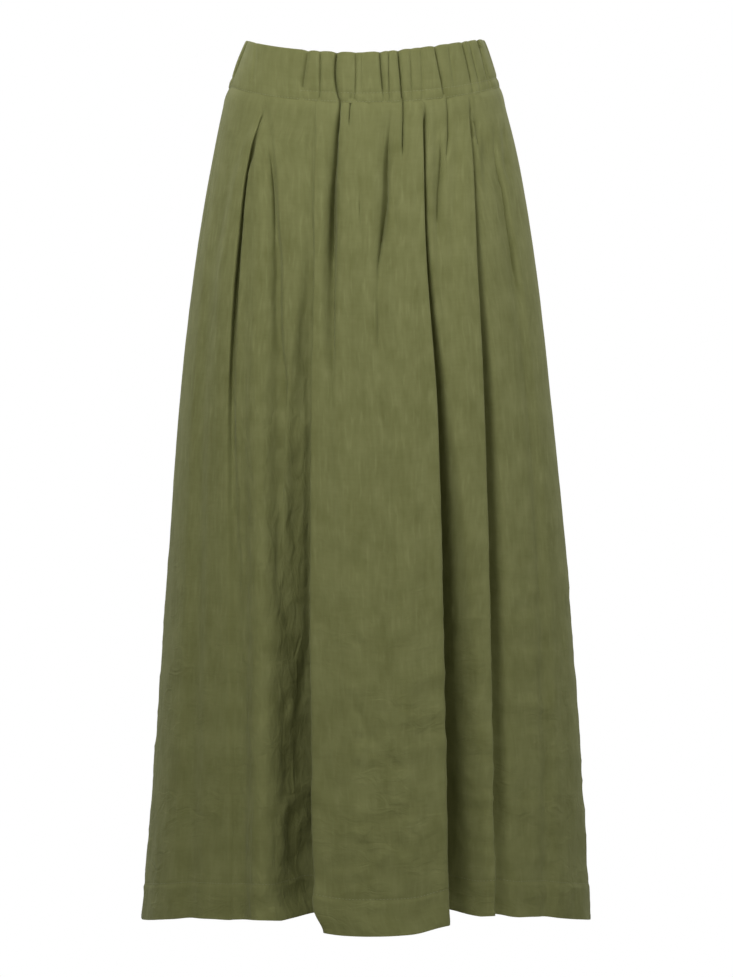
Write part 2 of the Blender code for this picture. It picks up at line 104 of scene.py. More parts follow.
def window(distance: Array, spread: Values, flat: float = 0.0) -> Array:
    """Ease from 1 to 0 with distance.

    Args:
        distance: how far from the middle, of either sign.
        spread: the distance at which nothing is left.
        flat: share of the spread over which the value stays 1.

    Returns:
        The eased values.
    """
    share = np.clip((np.abs(distance) / spread - flat) / (1 - flat), 0, 1)
    return 0.5 + 0.5 * np.cos(np.pi * share)


def smooth_step(values: Values, low: float, high: float) -> Values:
    """Rise smoothly from 0 at low to 1 at high."""
    share = np.clip((values - low) / (high - low), 0, 1)
    return share * share * (3 - 2 * share)


def set_in(values: Values, least: float, low: float, high: float) -> Values:
    """Rise smoothly from the least share at low to 1 at high."""
    return least + (1 - least) * smooth_step(values, low, high)


def cloth_noise(x: Array, y: Array, seed: int) -> Array:
    """Make smooth noise over a plane, the same on each run.

    The whole numbers that callers add to x and y only choose which part of the plane they use.

    Args:
        x: first coordinate, with one lump for each whole number.
        y: second coordinate, likewise.
        seed: which noise.

    Returns:
        Values from 0 to 1.
    """
    values = np.random.default_rng(seed).random((LATTICE, LATTICE))
    column, row = np.floor(x).astype(int), np.floor(y).astype(int)
    u, v = x - column, y - row
    u = u * u * u * (u * (6 * u - 15) + 10)
    v = v * v * v * (v * (6 * v - 15) + 10)
    near, far = column % LATTICE, (column + 1) % LATTICE
    high, low = row % LATTICE, (row + 1) % LATTICE
    top = values[near, high] * (1 - u) + values[far, high] * u
    bottom = values[near, low] * (1 - u) + values[far, low] * u
    return top * (1 - v) + bottom * v


def read_along(at: Values, run: Array, values: Array) -> Array:
    """Read three coordinates at places along a run."""
    return np.stack([np.interp(at, run, values[:, k]) for k in range(3)], axis=-1)


def ridged(noise: Array) -> Array:
    """Turn noise into sharp ridges of height 1 where it crosses its middle."""
    return 1 - np.abs(2 * noise - 1)


@dataclass(frozen=True)
class Viewpoint:
    """The place that the skirt is seen from, and its plane of real size, one millimetre a pixel."""

    side: float = 0.001
    away: float = 4.0
    height: float = -0.414
    centre: Pair = (366.5, 488.5)
    frame_height: float = 0.977

    def seen(self, points: Array) -> tuple[Array, Array]:
        """Find where points are seen from the front.

        Args:
            points: places in metres, in the last axis.

        Returns:
            How far across and how far down each is in the front view, in millimetres.
        """
        scale = self.away / (self.away + points[..., 1]) / MM
        across = self.centre[0] + (points[..., 0] - self.side) * scale
        return across, self.centre[1] - (points[..., 2] - self.height) * scale


@dataclass(frozen=True)
class Figure:
    """The filled-out form of the garment: its ovals at each height, and its edges and seams."""

    top: float = 33.5 * MM
    top_dips: Pair = (20 * MM, 8 * MM)
    top_rise_front_right: float = 3.5 * MM
    seam: float = -13.5 * MM
    seam_dips: Pair = (24.5 * MM, 8 * MM)
    dip_ease: float = 0.03
    dip_power: float = 0.7
    hem: float = -843.5 * MM
    hem_lift_diagonal: float = 13 * MM
    hem_lift_centre: float = 3.5 * MM
    waist_half_width: float = 135.5 * MM
    waist_half_depth: float = 88 * MM
    band_tapers: Pair = (0.36, 0.15)
    hip_width: Triple = (33.8 * MM, 160 * MM, 0.065)
    hip_front: Triple = (34 * MM, 150 * MM, 0.070)
    hip_back: Triple = (36 * MM, 130 * MM, 0.066)
    left_seam: float = -78.0
    right_seam: float = 97.0
    seam_slack: float = 0.05
    # Rounds in which a place that is seen is found, and the greatest sine there
    sight_rounds: int = 8
    sight_limit: float = 0.9999
    # How far the middle stands to the right in millimetres, at what height, and over what reach
    sways: Rows = ((2.8, -0.66, 0.34), (1.3, -0.47, 0.2), (-1.3, -0.02, 0.075))
    # Degrees, how far the hem lifts in millimetres, and over how many degrees
    hem_trims: Rows = ((-54, -2.5, 30), (-22, 6, 17), (19, 4, 9), (31, 6, 12), (60, -1.5, 18))

    def dip(self, angle: Array, dips: Pair) -> Array:
        """How far a line round the waist dips.

        Args:
            angle: angles round the garment.
            dips: the dips at the centre front and the centre back.

        Returns:
            The dip at each angle.
        """
        c = np.cos(angle)
        eased = (c * c + self.dip_ease) ** self.dip_power - self.dip_ease**self.dip_power
        whole = (1 + self.dip_ease) ** self.dip_power - self.dip_ease**self.dip_power
        return np.where(c > 0, dips[0], dips[1]) * eased / whole

    def top_edge(self, angle: Array) -> Array:
        """Height of the waistband's top edge."""
        front_right = np.sin(2 * np.clip(angle, 0, 0.5 * math.pi))
        return self.top - self.dip(angle, self.top_dips) + self.top_rise_front_right * front_right

    def waist_seam(self, angle: Array) -> Array:
        """Height of the seam between the waistband and the panels."""
        return self.seam - self.dip(angle, self.seam_dips)

    def hem_line(self, angle: Array) -> Array:
        """Height of the hem where the cloth hangs straight.

        Args:
            angle: angles round the garment.

        Returns:
            The heights.
        """
        lift = self.hem_lift_diagonal * np.sin(2 * angle) ** 2 + self.hem_lift_centre * np.cos(angle) ** 2
        for degrees, trim, spread in self.hem_trims:
            lift = lift + trim * MM * window(angle - math.radians(degrees), math.radians(spread))
        return self.hem + lift

    def height(self, angle: Array, share: float) -> Array:
        """The height at a share of the way from the waist seam to the hem."""
        return self.waist_seam(angle) * (1 - share) + self.hem_line(angle) * share

    def filled(self, z: Array, base: float, taper: float, hip: Triple) -> Array:
        """Half a width or depth of the garment.

        Args:
            z: height.
            base: the value at the waist seam at the sides.
            taper: how fast the band narrows above it.
            hip: how much the hip fills it out, over what height, and the flare below.

        Returns:
            The half width or half depth at z.
        """
        below = np.maximum(self.seam - z, 0)
        above = np.maximum(z - self.seam, 0)
        return base - taper * above + hip[0] * (1 - np.exp(-below / hip[1])) + hip[2] * below

    def half_width(self, z: Array) -> Array:
        """Half the garment's width at height z."""
        return self.filled(z, self.waist_half_width, self.band_tapers[0], self.hip_width)

    def half_depth(self, angle: Array, z: Array) -> Array:
        """Half the garment's depth at height z, in front or behind by the angle.

        Args:
            angle: angles round the garment.
            z: heights.

        Returns:
            Half the depth there.
        """
        front = self.filled(z, self.waist_half_depth, self.band_tapers[1], self.hip_front)
        back = self.filled(z, self.waist_half_depth, self.band_tapers[1], self.hip_back)
        return np.where(np.cos(angle) > 0, front, back)

    def ends(self, back: bool = False) -> Pair:
        """The angles at which the front, or the back, starts and ends."""
        left, right = math.radians(self.left_seam), math.radians(self.right_seam)
        return (right, left + 2 * math.pi) if back else (left, right)

    def swayed(self, z: Array) -> Array:
        """How far the garment's middle stands to the right at height z."""
        return sum(size * MM * window(z - height, reach) for size, height, reach in self.sways)

    def points(self, angle: Array, z: Array, out: Array, along: Array) -> Array:
        """Places on the garment's oval, moved outwards and along it.

        Args:
            angle: angles round the garment.
            z: heights.
            out: how far outwards.
            along: how far along the oval, towards greater angles.

        Returns:
            Points with x, y and z in the last axis.
        """
        z = z + 0 * angle
        wide, deep = self.half_width(z), self.half_depth(angle, z)
        x, y = wide * np.sin(angle), -deep * np.cos(angle)
        tx, ty = wide * np.cos(angle), deep * np.sin(angle)
        size = np.hypot(tx, ty)
        tx, ty = tx / size, ty / size
        x = x + out * ty + along * tx + self.swayed(z)
        return np.stack([x, y - out * tx + along * ty, z], axis=-1)

    def angle_at(self, points: Array) -> Array:
        """The angle round the garment at which each point lies.

        Args:
            points: places in metres, in the last axis.

        Returns:
            Their angles.
        """
        z = points[..., 2]
        wide, deep = self.half_width(z), self.half_depth(0 * z, z)
        angle = np.arctan2((points[..., 0] - self.swayed(z)) / wide, -points[..., 1] / deep)
        past_seam = angle < math.radians(self.left_seam) - self.seam_slack
        return np.where(past_seam, angle + 2 * math.pi, angle)

    def angle_seen(self, across: float, z: float, eye: Viewpoint) -> float:
        """The angle of the front at which a place across the front view lies.

        Args:
            across: place across the front view, in millimetres.
            z: height.
            eye: where the front is seen from.

        Returns:
            The angle round the garment.
        """
        angle = 0.0
        wide, deep = float(self.half_width(z)), float(self.half_depth(0.0, z))
        for _ in range(self.sight_rounds):
            near = (eye.away - deep * math.cos(angle)) / eye.away
            x = (across - eye.centre[0]) * MM * near + eye.side - float(self.swayed(np.array(z)))
            angle = math.asin(max(-self.sight_limit, min(self.sight_limit, x / wide)))
        return angle


@dataclass(frozen=True)
class PleatTurn:
    """One pleat at one height: where its cloth turns, how far it goes back and how far it runs on."""

    angle: float
    back: float
    run: float


@dataclass(frozen=True)
class Pleat:
    """A stitched-down pleat of the front, in millimetres, with a value for each of LEVELS.

    Its cloth steps from one level to another, and its folded edge lies at x. The part on its left
    stands out by left, the part on its right by right, and each dies away over its own spread. Its
    edge curls to the right by curl where it reaches the hem.
    """

    x: Levels
    left: Levels
    right: Levels
    turn: Levels
    left_spread: Levels
    right_spread: Levels
    curl: float = 0.0
    curl_height: float = 24 * MM
    # The turn is an S of cloth: shares of its way back and its run that it reaches past its middle
    reach: float = 0.0962
    run_reach: float = 0.3
    # How its bend follows from its step, and the tightest bend and shortest run that cloth takes
    bend: float = 3.46
    start: float = 6.0
    tightest: float = 1.9 * MM
    shortest: float = 4 * MM
    rounds: int = 4

    def turn_at(self, figure: Figure, depth: float, z: float) -> PleatTurn:
        """Solve the pleat's turn so that its folded edge lies at x.

        Args:
            figure: the garment's form.
            depth: distance below the waist seam.
            z: height there.

        Returns:
            The pleat's turn.
        """
        edge, left, right = (smooth_path(v, depth) * MM for v in (self.x, self.left, self.right))
        edge += self.curl * MM * float(smooth_step(depth, SKIRT_LENGTH - self.curl_height, SKIRT_LENGTH))
        edge -= float(figure.swayed(np.array(z)))
        step = abs(left - right)
        back = min(smooth_path(self.turn, depth) * MM, step * step / (self.bend * self.tightest))
        run = max(math.sqrt(self.start * step * self.tightest), self.shortest) - back
        run = max(run, 0)
        facing = 1 if left > right else -1
        wide, deep = float(figure.half_width(z)), float(figure.half_depth(0.0, z))
        angle = math.asin(edge / wide)
        for _ in range(self.rounds):
            size = math.hypot(wide * math.cos(angle), deep * math.sin(angle))
            outwards = max(left, right) * deep * math.sin(angle) / size
            reached = self.reach * back - self.run_reach * run
            sideways = facing * reached * wide * math.cos(angle) / size
            angle = math.asin((edge - outwards - sideways) / wide)
        return PleatTurn(angle, back, run)


class Zone(Enum):
    """The front's parts between its pleats, from the left seam to the right one."""

    LEFT_SIDE = 0
    RECESS = 1
    CENTRE = 2
    NARROW = 3
    RIGHT_SIDE = 4


@dataclass(frozen=True)
class Crease:
    """A crease in the cloth, drawn as a path on its surface.

    Its path, depth and widths are in millimetres. It is a valley where depth is above 0, and a ridge
    below. Its left and right are those of the view for a path that runs down. Where columns_before is
    given, a column of its zone follows it, with so many of the zone's columns on its left.
    """

    path: tuple[Pair, ...]
    depth: float
    left: float
    right: float
    sharp: float = 0.0
    ease: float = 0.25
    zone: Zone | None = None
    columns_before: int = 0

    def relief(self, x: Array, y: Array) -> Array:
        """How far the crease moves the cloth outwards.

        Args:
            x: place across, in millimetres.
            y: place down, in millimetres.

        Returns:
            The movement in metres.
        """
        path = np.array(self.path, float)
        reach = CREASE_REACH * max(self.left, self.right)
        low, high = path.min(axis=0) - reach, path.max(axis=0) + reach
        near = (x > low[0]) & (x < high[0]) & (y > low[1]) & (y < high[1])
        moved = np.zeros_like(x)
        if not near.any():
            return moved
        points = np.stack([x[near], y[near]], axis=-1)
        lengths = np.linalg.norm(np.diff(path, axis=0), axis=1)
        passed = np.concatenate([[0], np.cumsum(lengths)])
        best = np.full(len(points), np.inf)
        run, side = np.zeros(len(points)), np.zeros(len(points))
        for start, end, length, before in zip(path, path[1:], lengths, passed):
            step, offset = end - start, points - start
            t = np.clip(offset @ step / length**2, 0, 1)
            distance = np.linalg.norm(offset - t[:, None] * step, axis=1)
            closer = distance < best
            best = np.where(closer, distance, best)
            run = np.where(closer, (before + t * length) / passed[-1], run)
            side = np.where(closer, step[0] * offset[:, 1] - step[1] * offset[:, 0], side)
        share = best / np.where(side > 0, self.left, self.right)
        shape = (1 - self.sharp) * np.exp(-(share**2)) + self.sharp * np.exp(-CREASE_FALL * share)
        fading = smooth_step(np.minimum(run, 1 - run), CREASE_START, self.ease)
        moved[near] = -self.depth * MM * shape * fading
        return moved


@dataclass(frozen=True)
class Crumpling:
    """The small dents and soft waves that linen keeps, over a panel's own cloth."""

    seed: int
    dent_height: float = 3.0 * MM
    wave_height: float = 1.5 * MM
    # Lumps a metre across and down, and their share of the height
    dents: Rows = ((18, 28, 0.55), (38, 56, 0.45))
    waves: Rows = ((24, 2.6, 0.6), (48, 5.0, 0.4))
    dents_down: SetsIn = (0.12, 0.25, 0.75)
    dents_across: SetsIn = (0.4, -0.22, -0.10)
    waves_down: SetsIn = (0.3, 0.0, 0.3)
    ripples: Pair = (92, 11)
    ripple_height: float = 0.5 * MM
    # Distances down between which the ripples set in, and lose most of their height again
    ripples_from: Pair = (0.02, 0.12)
    ripples_to: Pair = (0.36, 0.62)
    ripples_lost: float = 0.6
    ripple_spread: float = 0.16
    ripples_beside: float = 0.3
    # How far the dents lean, and how the cloth is strained, by its lumps a metre and in centimetres
    lean: float = 0.35
    strains: Pair = (9, 7)
    strain: float = 1.7
    wave_strains: Pair = (0.6, 3)

    def relief(self, across: Array, down: Array) -> Array:
        """How far the crumpling moves the cloth outwards.

        Args:
            across: distance along the cloth from its centre line, in metres.
            down: distance below the waist seam, in metres.

        Returns:
            The movement in metres.
        """
        seed, (wide, tall) = self.seed, self.strains
        bent = self.strain * cloth_noise(across * wide + 31, down * tall + 13, seed) / 100
        moved = 0 * across
        for i, (wide, tall, share) in enumerate(self.dents):
            x, y = across + self.lean * down + bent, down + bent
            dent = ridged(cloth_noise(x * wide + 40, y * tall + 5, seed + 1 + i))
            moved = moved + share * (dent - 0.5)
        dents = self.dent_height * moved * set_in(down, *self.dents_down)
        dents = dents * set_in(across, *self.dents_across)
        moved = 0 * across
        for i, (wide, tall, share) in enumerate(self.waves):
            x, y = across + bent * self.wave_strains[0], down + self.wave_strains[1] * bent
            moved = moved + share * (cloth_noise(x * wide + 60, y * tall + 9, seed + 11 + i) - 0.5)
        waves = self.wave_height * moved * set_in(down, *self.waves_down)
        wide, tall = self.ripples
        ripples = cloth_noise((across + bent) * wide + 3, down * tall + 21, seed + 20) - 0.5
        lost = self.ripples_lost * smooth_step(down, *self.ripples_to)
        shown = smooth_step(down, *self.ripples_from) * (1 - lost)
        beside = self.ripples_beside
        shown = shown * (beside + (1 - beside) * window(across, self.ripple_spread))
        return dents + waves + 2 * self.ripple_height * ripples * shown


@dataclass
class ClothGrid:
    """The middle of a sheet of cloth, with its thickness and its weave's directions."""

    middle: Array
    down: Array
    outer_half: Array
    inner_half: Array
    centre_column: int
    grain: Array | None = None
    crinkled: Array | None = None

    def across(self) -> Array:
        """Distance along each row from its centre column.

        Returns:
            The distances, in metres.
        """
        steps = np.linalg.norm(np.diff(self.middle, axis=1), axis=2)
        run = np.concatenate([np.zeros((len(steps), 1)), np.cumsum(steps, axis=1)], axis=1)
        return run - run[:, self.centre_column : self.centre_column + 1]

    def normals(self) -> Array:
        """Directions out of the cloth at each point."""
        normal = np.cross(np.gradient(self.middle, axis=0), np.gradient(self.middle, axis=1))
        return normal / np.linalg.norm(normal, axis=2, keepdims=True)

    def push(self, relief: Array) -> None:
        """Move each point of the cloth outwards by its relief."""
        self.middle = self.middle + relief[..., None] * self.normals()

    def faces_of(self, side: float) -> Array:
        """The points of the outer side, where side is 1, or the inner one, where it is -1."""
        half = self.outer_half if side > 0 else self.inner_half
        return self.middle + side * half[..., None] * self.normals()

    def weave(self) -> Array:
        """Each point's place on the cloth, across and down, in metres.

        Returns:
            Two coordinates for each point.
        """
        down = np.broadcast_to(self.down, self.middle.shape[:2])
        across = self.across() if self.grain is None else self.grain
        return np.stack([across, -down], axis=-1)

    def build(self, name: str) -> Object:
        """Make the closed sheet.

        Args:
            name: the piece's name.

        Returns:
            The piece, linked to the scene.
        """
        outer, inner = self.faces_of(1), self.faces_of(-1)
        rows, columns = outer.shape[:2]
        count = rows * columns
        index = np.arange(count).reshape(rows, columns)
        a, b, c, d = index[:-1, :-1], index[1:, :-1], index[1:, 1:], index[:-1, 1:]
        quads = [np.stack(corners, axis=-1).reshape(-1, 4) for corners in ((a, b, c, d), (a, d, c, b))]
        quads[1] = quads[1] + count
        for line, flipped in (
            (index[0], False),
            (index[-1], True),
            (index[:, 0], True),
            (index[:, -1], False),
        ):
            corners = [line[:-1], line[1:], line[1:] + count, line[:-1] + count]
            quads.append(np.stack(corners[::-1] if flipped else corners, axis=-1))
        faces = np.concatenate(quads)
        mesh = bpy.data.meshes.new(name)
        points = np.concatenate([outer.reshape(-1, 3), inner.reshape(-1, 3)])
        mesh.from_pydata(points.tolist(), [], faces.tolist())
        corner = np.empty(len(mesh.loops), np.int32)
        mesh.loops.foreach_get("vertex_index", corner)
        places = self.weave().reshape(-1, 2)[corner % count]
        mesh.uv_layers.new(name="cloth").data.foreach_set("uv", places.ravel())
        if self.crinkled is not None:
            crinkled = np.tile(self.crinkled.ravel(), 2).astype(np.float32)
            mesh.attributes.new("crinkled", "FLOAT", "POINT").data.foreach_set("value", crinkled)
        mesh.shade_smooth()
        mesh.set_sharp_from_angle(angle=SHARP_ANGLE)
        mesh.validate()
        piece = bpy.data.objects.new(name, mesh)
        bpy.context.scene.collection.objects.link(piece)
        return piece


@dataclass(frozen=True)
class NodeDesk:
    """Adds nodes to a material or a world and joins them."""

    owner: Material | World

    def feed(self, node: Node, inputs: Sockets) -> None:
        """Give a node's sockets their values, or join the sockets that feed them.

        Args:
            node: the node.
            inputs: its sockets' values, or the sockets that feed them.
        """
        for key, value in inputs.items():
            if isinstance(value, NodeSocket):
                self.owner.node_tree.links.new(value, node.inputs[key])
            else:
                node.inputs[key].default_value = value

    def add(self, kind: str, inputs: Sockets | None = None, **settings: object) -> Node:
        """Add a node.

        Args:
            kind: the node's type.
            inputs: its sockets' values, or the sockets that feed them.
            settings: its own properties.

        Returns:
            The node.
        """
        node = self.owner.node_tree.nodes.new(kind)
        for key, value in settings.items():
            setattr(node, key, value)
        self.feed(node, inputs or {})
        return node

    def maths(self, operation: str, *values: object) -> NodeSocket:
        """Add a sum of the given kind and return its result."""
        return self.add("ShaderNodeMath", dict(enumerate(values)), operation=operation).outputs[0]

    def ramp(self, value: object, *limits: float) -> NodeSocket:
        """Lead a value from between the first two limits to between the last two."""
        return self.add("ShaderNodeMapRange", dict(enumerate((value, *limits))), clamp=True).outputs[0]

    def mix(self, share: object, dark: Colour, pale: Colour) -> NodeSocket:
        """Mix two colours by a share."""
        colours = {socket: (*colour, 1.0) for socket, colour in zip(MIX_COLOURS, (dark, pale))}
        return self.add("ShaderNodeMix", {0: share, **colours}, data_type="RGBA").outputs[2]

    def bump(self, height: object, distance: float, strength: float, **under: object) -> NodeSocket:
        """Roughen the surface by a height, on top of the Normal that is under it."""
        values = {"Height": height, "Distance": distance, "Strength": strength, **under}
        return self.add("ShaderNodeBump", values).outputs[0]

    def yarn(self, where: NodeSocket, row: tuple[float, ...]) -> NodeSocket:
        """Add noise that is drawn out along the cloth.

        Args:
            where: the cloth's coordinates.
            row: lumps a metre across and down it, detail, roughness and distortion.

        Returns:
            The noise's value.
        """
        across, down, *values = row
        spread = self.add("ShaderNodeMapping", {"Vector": where, "Scale": (across, down, 1.0)})
        sockets = dict(zip(("Detail", "Roughness", "Distortion"), values))
        inputs = {"Vector": spread.outputs[0], "Scale": 1.0, **sockets}
        return self.add("ShaderNodeTexNoise", inputs, noise_dimensions="2D").outputs[0]


@dataclass(frozen=True)
class Finish:
    """A matte finish in soft clouds between two colours."""

    name: str
    dark: Colour
    pale: Colour
    roughness: float
    clouds: float = 6.0

    def shading(self, desk: NodeDesk) -> tuple[object, Sockets]:
        """How pale the finish is at each point, and the shader's other values.

        Args:
            desk: adds the nodes.

        Returns:
            The paleness, and a value or socket for each of the shader's inputs.
        """
        where = desk.add("ShaderNodeTexCoord").outputs["Object"]
        noise = desk.add("ShaderNodeTexNoise", {"Vector": where, "Scale": self.clouds, "Detail": 2.0})
        return noise.outputs[0], {"Roughness": self.roughness}

    def material(self) -> Material:
        """Make the finish, or find it if it is there already.

        Returns:
            The material.
        """
        if self.name in bpy.data.materials:
            return bpy.data.materials[self.name]
        material = bpy.data.materials.new(self.name)
        material.use_nodes = True
        desk = NodeDesk(material)
        tone, values = self.shading(desk)
        values["Base Color"] = desk.mix(tone, self.dark, self.pale)
        desk.feed(material.node_tree.nodes["Principled BSDF"], values)
        return material

    def dress(self, piece: Object) -> None:
        """Give a piece this finish alone."""
        piece.data.materials.clear()
        piece.data.materials.append(self.material())


THREAD = Finish("sewing_thread", (0.19, 0.20, 0.09), (0.30, 0.31, 0.17), 0.7, clouds=5200.0)
FLOOR = Finish("studio_floor", (0.86, 0.86, 0.86), (0.90, 0.90, 0.90), 0.9)

# The linen's noises: lumps a metre across and down, detail, roughness and distortion
LINEN_NOISES = {
    "warp": (230.0, 42.0, 1.0, 0.5, 0.0),
    "weft": (50.0, 380.0, 2.0, 0.5, 0.0),
    "warp_yarn": (1500.0, 110.0, 2.0, 0.6, 0.0),
    "weft_yarn": (110.0, 1500.0, 2.0, 0.6, 0.0),
    "cloud": (46.0, 30.0, 3.0, 0.5, 0.0),
    "slub": (310.0, 45.0, 0.0, 0.5, 0.3),
    "dents": (70.0, 46.0, 3.0, 0.5, 0.6),
    "patches": (16.0, 20.0, 1.0, 0.5, 0.0),
    "puckers": (48.0, 88.0, 3.0, 0.5, 0.9),
    "crinkles": (120.0, 40.0, 2.0, 0.5, 0.5),
}


@dataclass(frozen=True)
class LinenFinish(Finish):
    """Matte olive green linen, woven from slubby yarn, and puckered low down."""

    name: str = "slubbed_linen"
    dark: Colour = (0.144, 0.150, 0.049)
    pale: Colour = (0.238, 0.247, 0.102)
    roughness: float = 0.88
    gloss: float = 0.25
    sheen: float = 0.08
    sheen_roughness: float = 0.45
    sheen_tint: Colour = (0.80, 0.84, 0.68)
    warp_slub: float = 0.21
    weft_slub: float = 0.08
    cloud: float = 0.42
    yarn_shade: float = 0.025
    thick_places: float = 1.0
    thick_from: float = 0.64
    warp_relief: float = 1.2
    yarn_height: float = 0.06 * MM
    yarn_strength: float = 0.7
    dent_height: float = 0.9 * MM
    dent_strength: float = 0.6
    pucker_height: float = 1.1 * MM
    crinkle_height: float = 1.5 * MM
    # Heights on the cloth, 0 at the waist seam, between which the puckers set in
    crumpled: Pair = (-0.30, -0.72)
    # Heights over which the slubs' streaks grow to their full strength, and their least share
    calm_waist: Triple = (0.0, -0.12, 0.55)
    # How strong the streaks are above the puckers, and what they lose among them
    streaks_above: float = 1.1
    streaks_lost: float = -0.55
    # Limits of the noise that leaves the puckers in patches, and the least share of them
    patches: Triple = (0.40, 0.62, 0.1)

    def shading(self, desk: NodeDesk) -> tuple[object, Sockets]:
        """How pale the linen is at each point, and the shader's other values.

        Args:
            desk: adds the nodes.

        Returns:
            The paleness, and a value or socket for each of the shader's inputs.
        """
        where = desk.add("ShaderNodeUVMap", uv_map="cloth").outputs[0]
        noise = {name: desk.yarn(where, row) for name, row in LINEN_NOISES.items()}
        height = desk.add("ShaderNodeSeparateXYZ", {0: where}).outputs[1]
        low = desk.ramp(height, *self.crumpled, 0.0, 1.0)
        streaked = desk.maths("MULTIPLY_ADD", low, self.streaks_lost, self.streaks_above)
        streaked = desk.maths("MULTIPLY", streaked, desk.ramp(height, *self.calm_waist, 1.0))
        tone: object = 0.5
        shares = {
            "weft": self.weft_slub,
            "cloud": self.cloud,
            "warp_yarn": self.yarn_shade,
            "weft_yarn": self.yarn_shade,
        }
        for name, share in shares.items():
            tone = desk.maths("MULTIPLY_ADD", desk.maths("SUBTRACT", noise[name], 0.5), share * 2, tone)
        thick = desk.maths("MAXIMUM", desk.maths("SUBTRACT", noise["slub"], self.thick_from), 0.0)
        streaks = desk.maths("MULTIPLY", desk.maths("SUBTRACT", noise["warp"], 0.5), self.warp_slub * 2)
        streaks = desk.maths("MULTIPLY_ADD", thick, self.thick_places, streaks)
        tone = desk.maths("MULTIPLY_ADD", streaks, streaked, tone)

        dented = desk.bump(noise["dents"], self.dent_height, self.dent_strength)
        patchy = desk.maths("MULTIPLY", desk.ramp(noise["patches"], *self.patches, 1.0), low)
        crinkled = desk.add("ShaderNodeAttribute", attribute_name="crinkled").outputs["Fac"]
        crinkled = desk.maths("MULTIPLY", crinkled, self.crinkle_height / self.pucker_height)
        puckers = desk.maths("MULTIPLY", noise["puckers"], patchy)
        puckers = desk.maths("MULTIPLY_ADD", noise["crinkles"], crinkled, puckers)
        puckered = desk.bump(puckers, self.pucker_height, 1.0, Normal=dented)
        weave = desk.maths("ADD", noise["warp_yarn"], noise["weft_yarn"])
        slubbed = desk.maths("MULTIPLY_ADD", noise["warp"], self.warp_relief, weave)
        return tone, {
            "Normal": desk.bump(slubbed, self.yarn_height, self.yarn_strength, Normal=puckered),
            "Roughness": self.roughness,
            "Specular IOR Level": self.gloss,
            "Sheen Weight": self.sheen,
            "Sheen Roughness": self.sheen_roughness,
            "Sheen Tint": (*self.sheen_tint, 1.0),
        }


PLEATS = (
    Pleat(
        x=(-100, -104.5, -115.5, -127, -135, -133, -131),
        left=(0, 0.6, 1.6, 3, 2, 1, 0.5),
        right=(0, -2.2, -5, -9, -5, -2.5, -1),
        turn=(0, 5.5, 13, 26, 7, 0, 0),
        left_spread=(10, 12, 18, 30, 26, 22, 24),
        right_spread=(3, 3, 3.4, 6.5, 10, 18, 22),
    ),
    Pleat(
        x=(-48, -48, -50, -49.5, -52.5, -53.5, -49.5),
        left=(0, -1, -1, -3, -12, -32, -44),
        right=(0, 1, 1, 2, 5, 9, 12),
        turn=(0, 2, 3, 5, 18, 60, 95),
        left_spread=(6, 8, 10, 14, 26, 42, 54),
        right_spread=(10, 12, 14, 24, 40, 60, 64),
        curl=10,
    ),
    Pleat(
        x=(56, 56.2, 57, 59, 69.6, 75.6, 80.5),
        left=(0, 1, 2.5, 4, 7, 11, 14),
        right=(0, -5, -10, -12, -18, -31, -41),
        turn=(0, 12, 26, 36, 50, 90, 110),
        left_spread=(15, 17, 20, 30, 44, 56, 64),
        right_spread=(4, 5.5, 6, 8, 17, 38, 54),
    ),
    Pleat(
        x=(103, 104, 106.4, 109.8, 116.4, 121.5, 124.5),
        left=(0, 1, 2.5, 4, 6, 8, 8),
        right=(0, -3, -7.5, -11.5, -18, -19, -5),
        turn=(0, 8, 20, 32, 44, 40, 8),
        left_spread=(12, 14, 16, 24, 34, 38, 38),
        right_spread=(4.5, 5, 6, 10, 21, 26, 24),
    ),
)

# Soft folds of the front: x and distance out at each of LEVELS, and spreads to the left and right
FRONT_FOLDS = (
    ((-112, -120, -134, -150, -162, -170, -176), (0, 0, 0, -1, -3, -4, -4), 22, 26),
    ((-108, -107, -106, -106, -106, -104, -101), (0, 0, 2, 3, 6, 9, 12), 20, 26),
    ((-100, -96, -93, -88, -87, -86, -86), (0, -1, -3, -5, -4, -2, 0), 16, 8),
    ((-28, -28, -29, -32.5, -34.5, -35, -35), (0, -1.5, -5, -6, -2, 0, 0), 16, 12),
    ((12, 12, 12, 12, 12, 12, 12), (0, 0, 0, 2, 4, 7, 8), 56, 50),
    ((24, 24, 20, 16, 12, 10, 10), (-0.5, -3, -4, -4, -2, 0, 0), 16, 12),
    ((68, 70, 71, 72, 80, 90, 90), (0, -1, -3, -2, 0, 0, 0), 10, 10),
    ((104, 111, 124, 142, 160, 170, 176), (0, -2, -3, -4, -3, -3, -3), 14, 20),
)

# Soft folds of the back: degrees at the waist and the hem, depth, and spreads to the left and right
BACK_FOLDS = (
    (110, 113, 13, 26, 30),
    (128, 132, 31, 34, 22),
    (146, 150, 22, 24, 32),
    (163, 167, 38, 30, 26),
    (182, 184, 24, 24, 28),
    (200, 201, 35, 26, 34),
    (219, 221, 27, 30, 24),
    (238, 243, 20, 24, 30),
    (255, 262, 11, 26, 24),
)

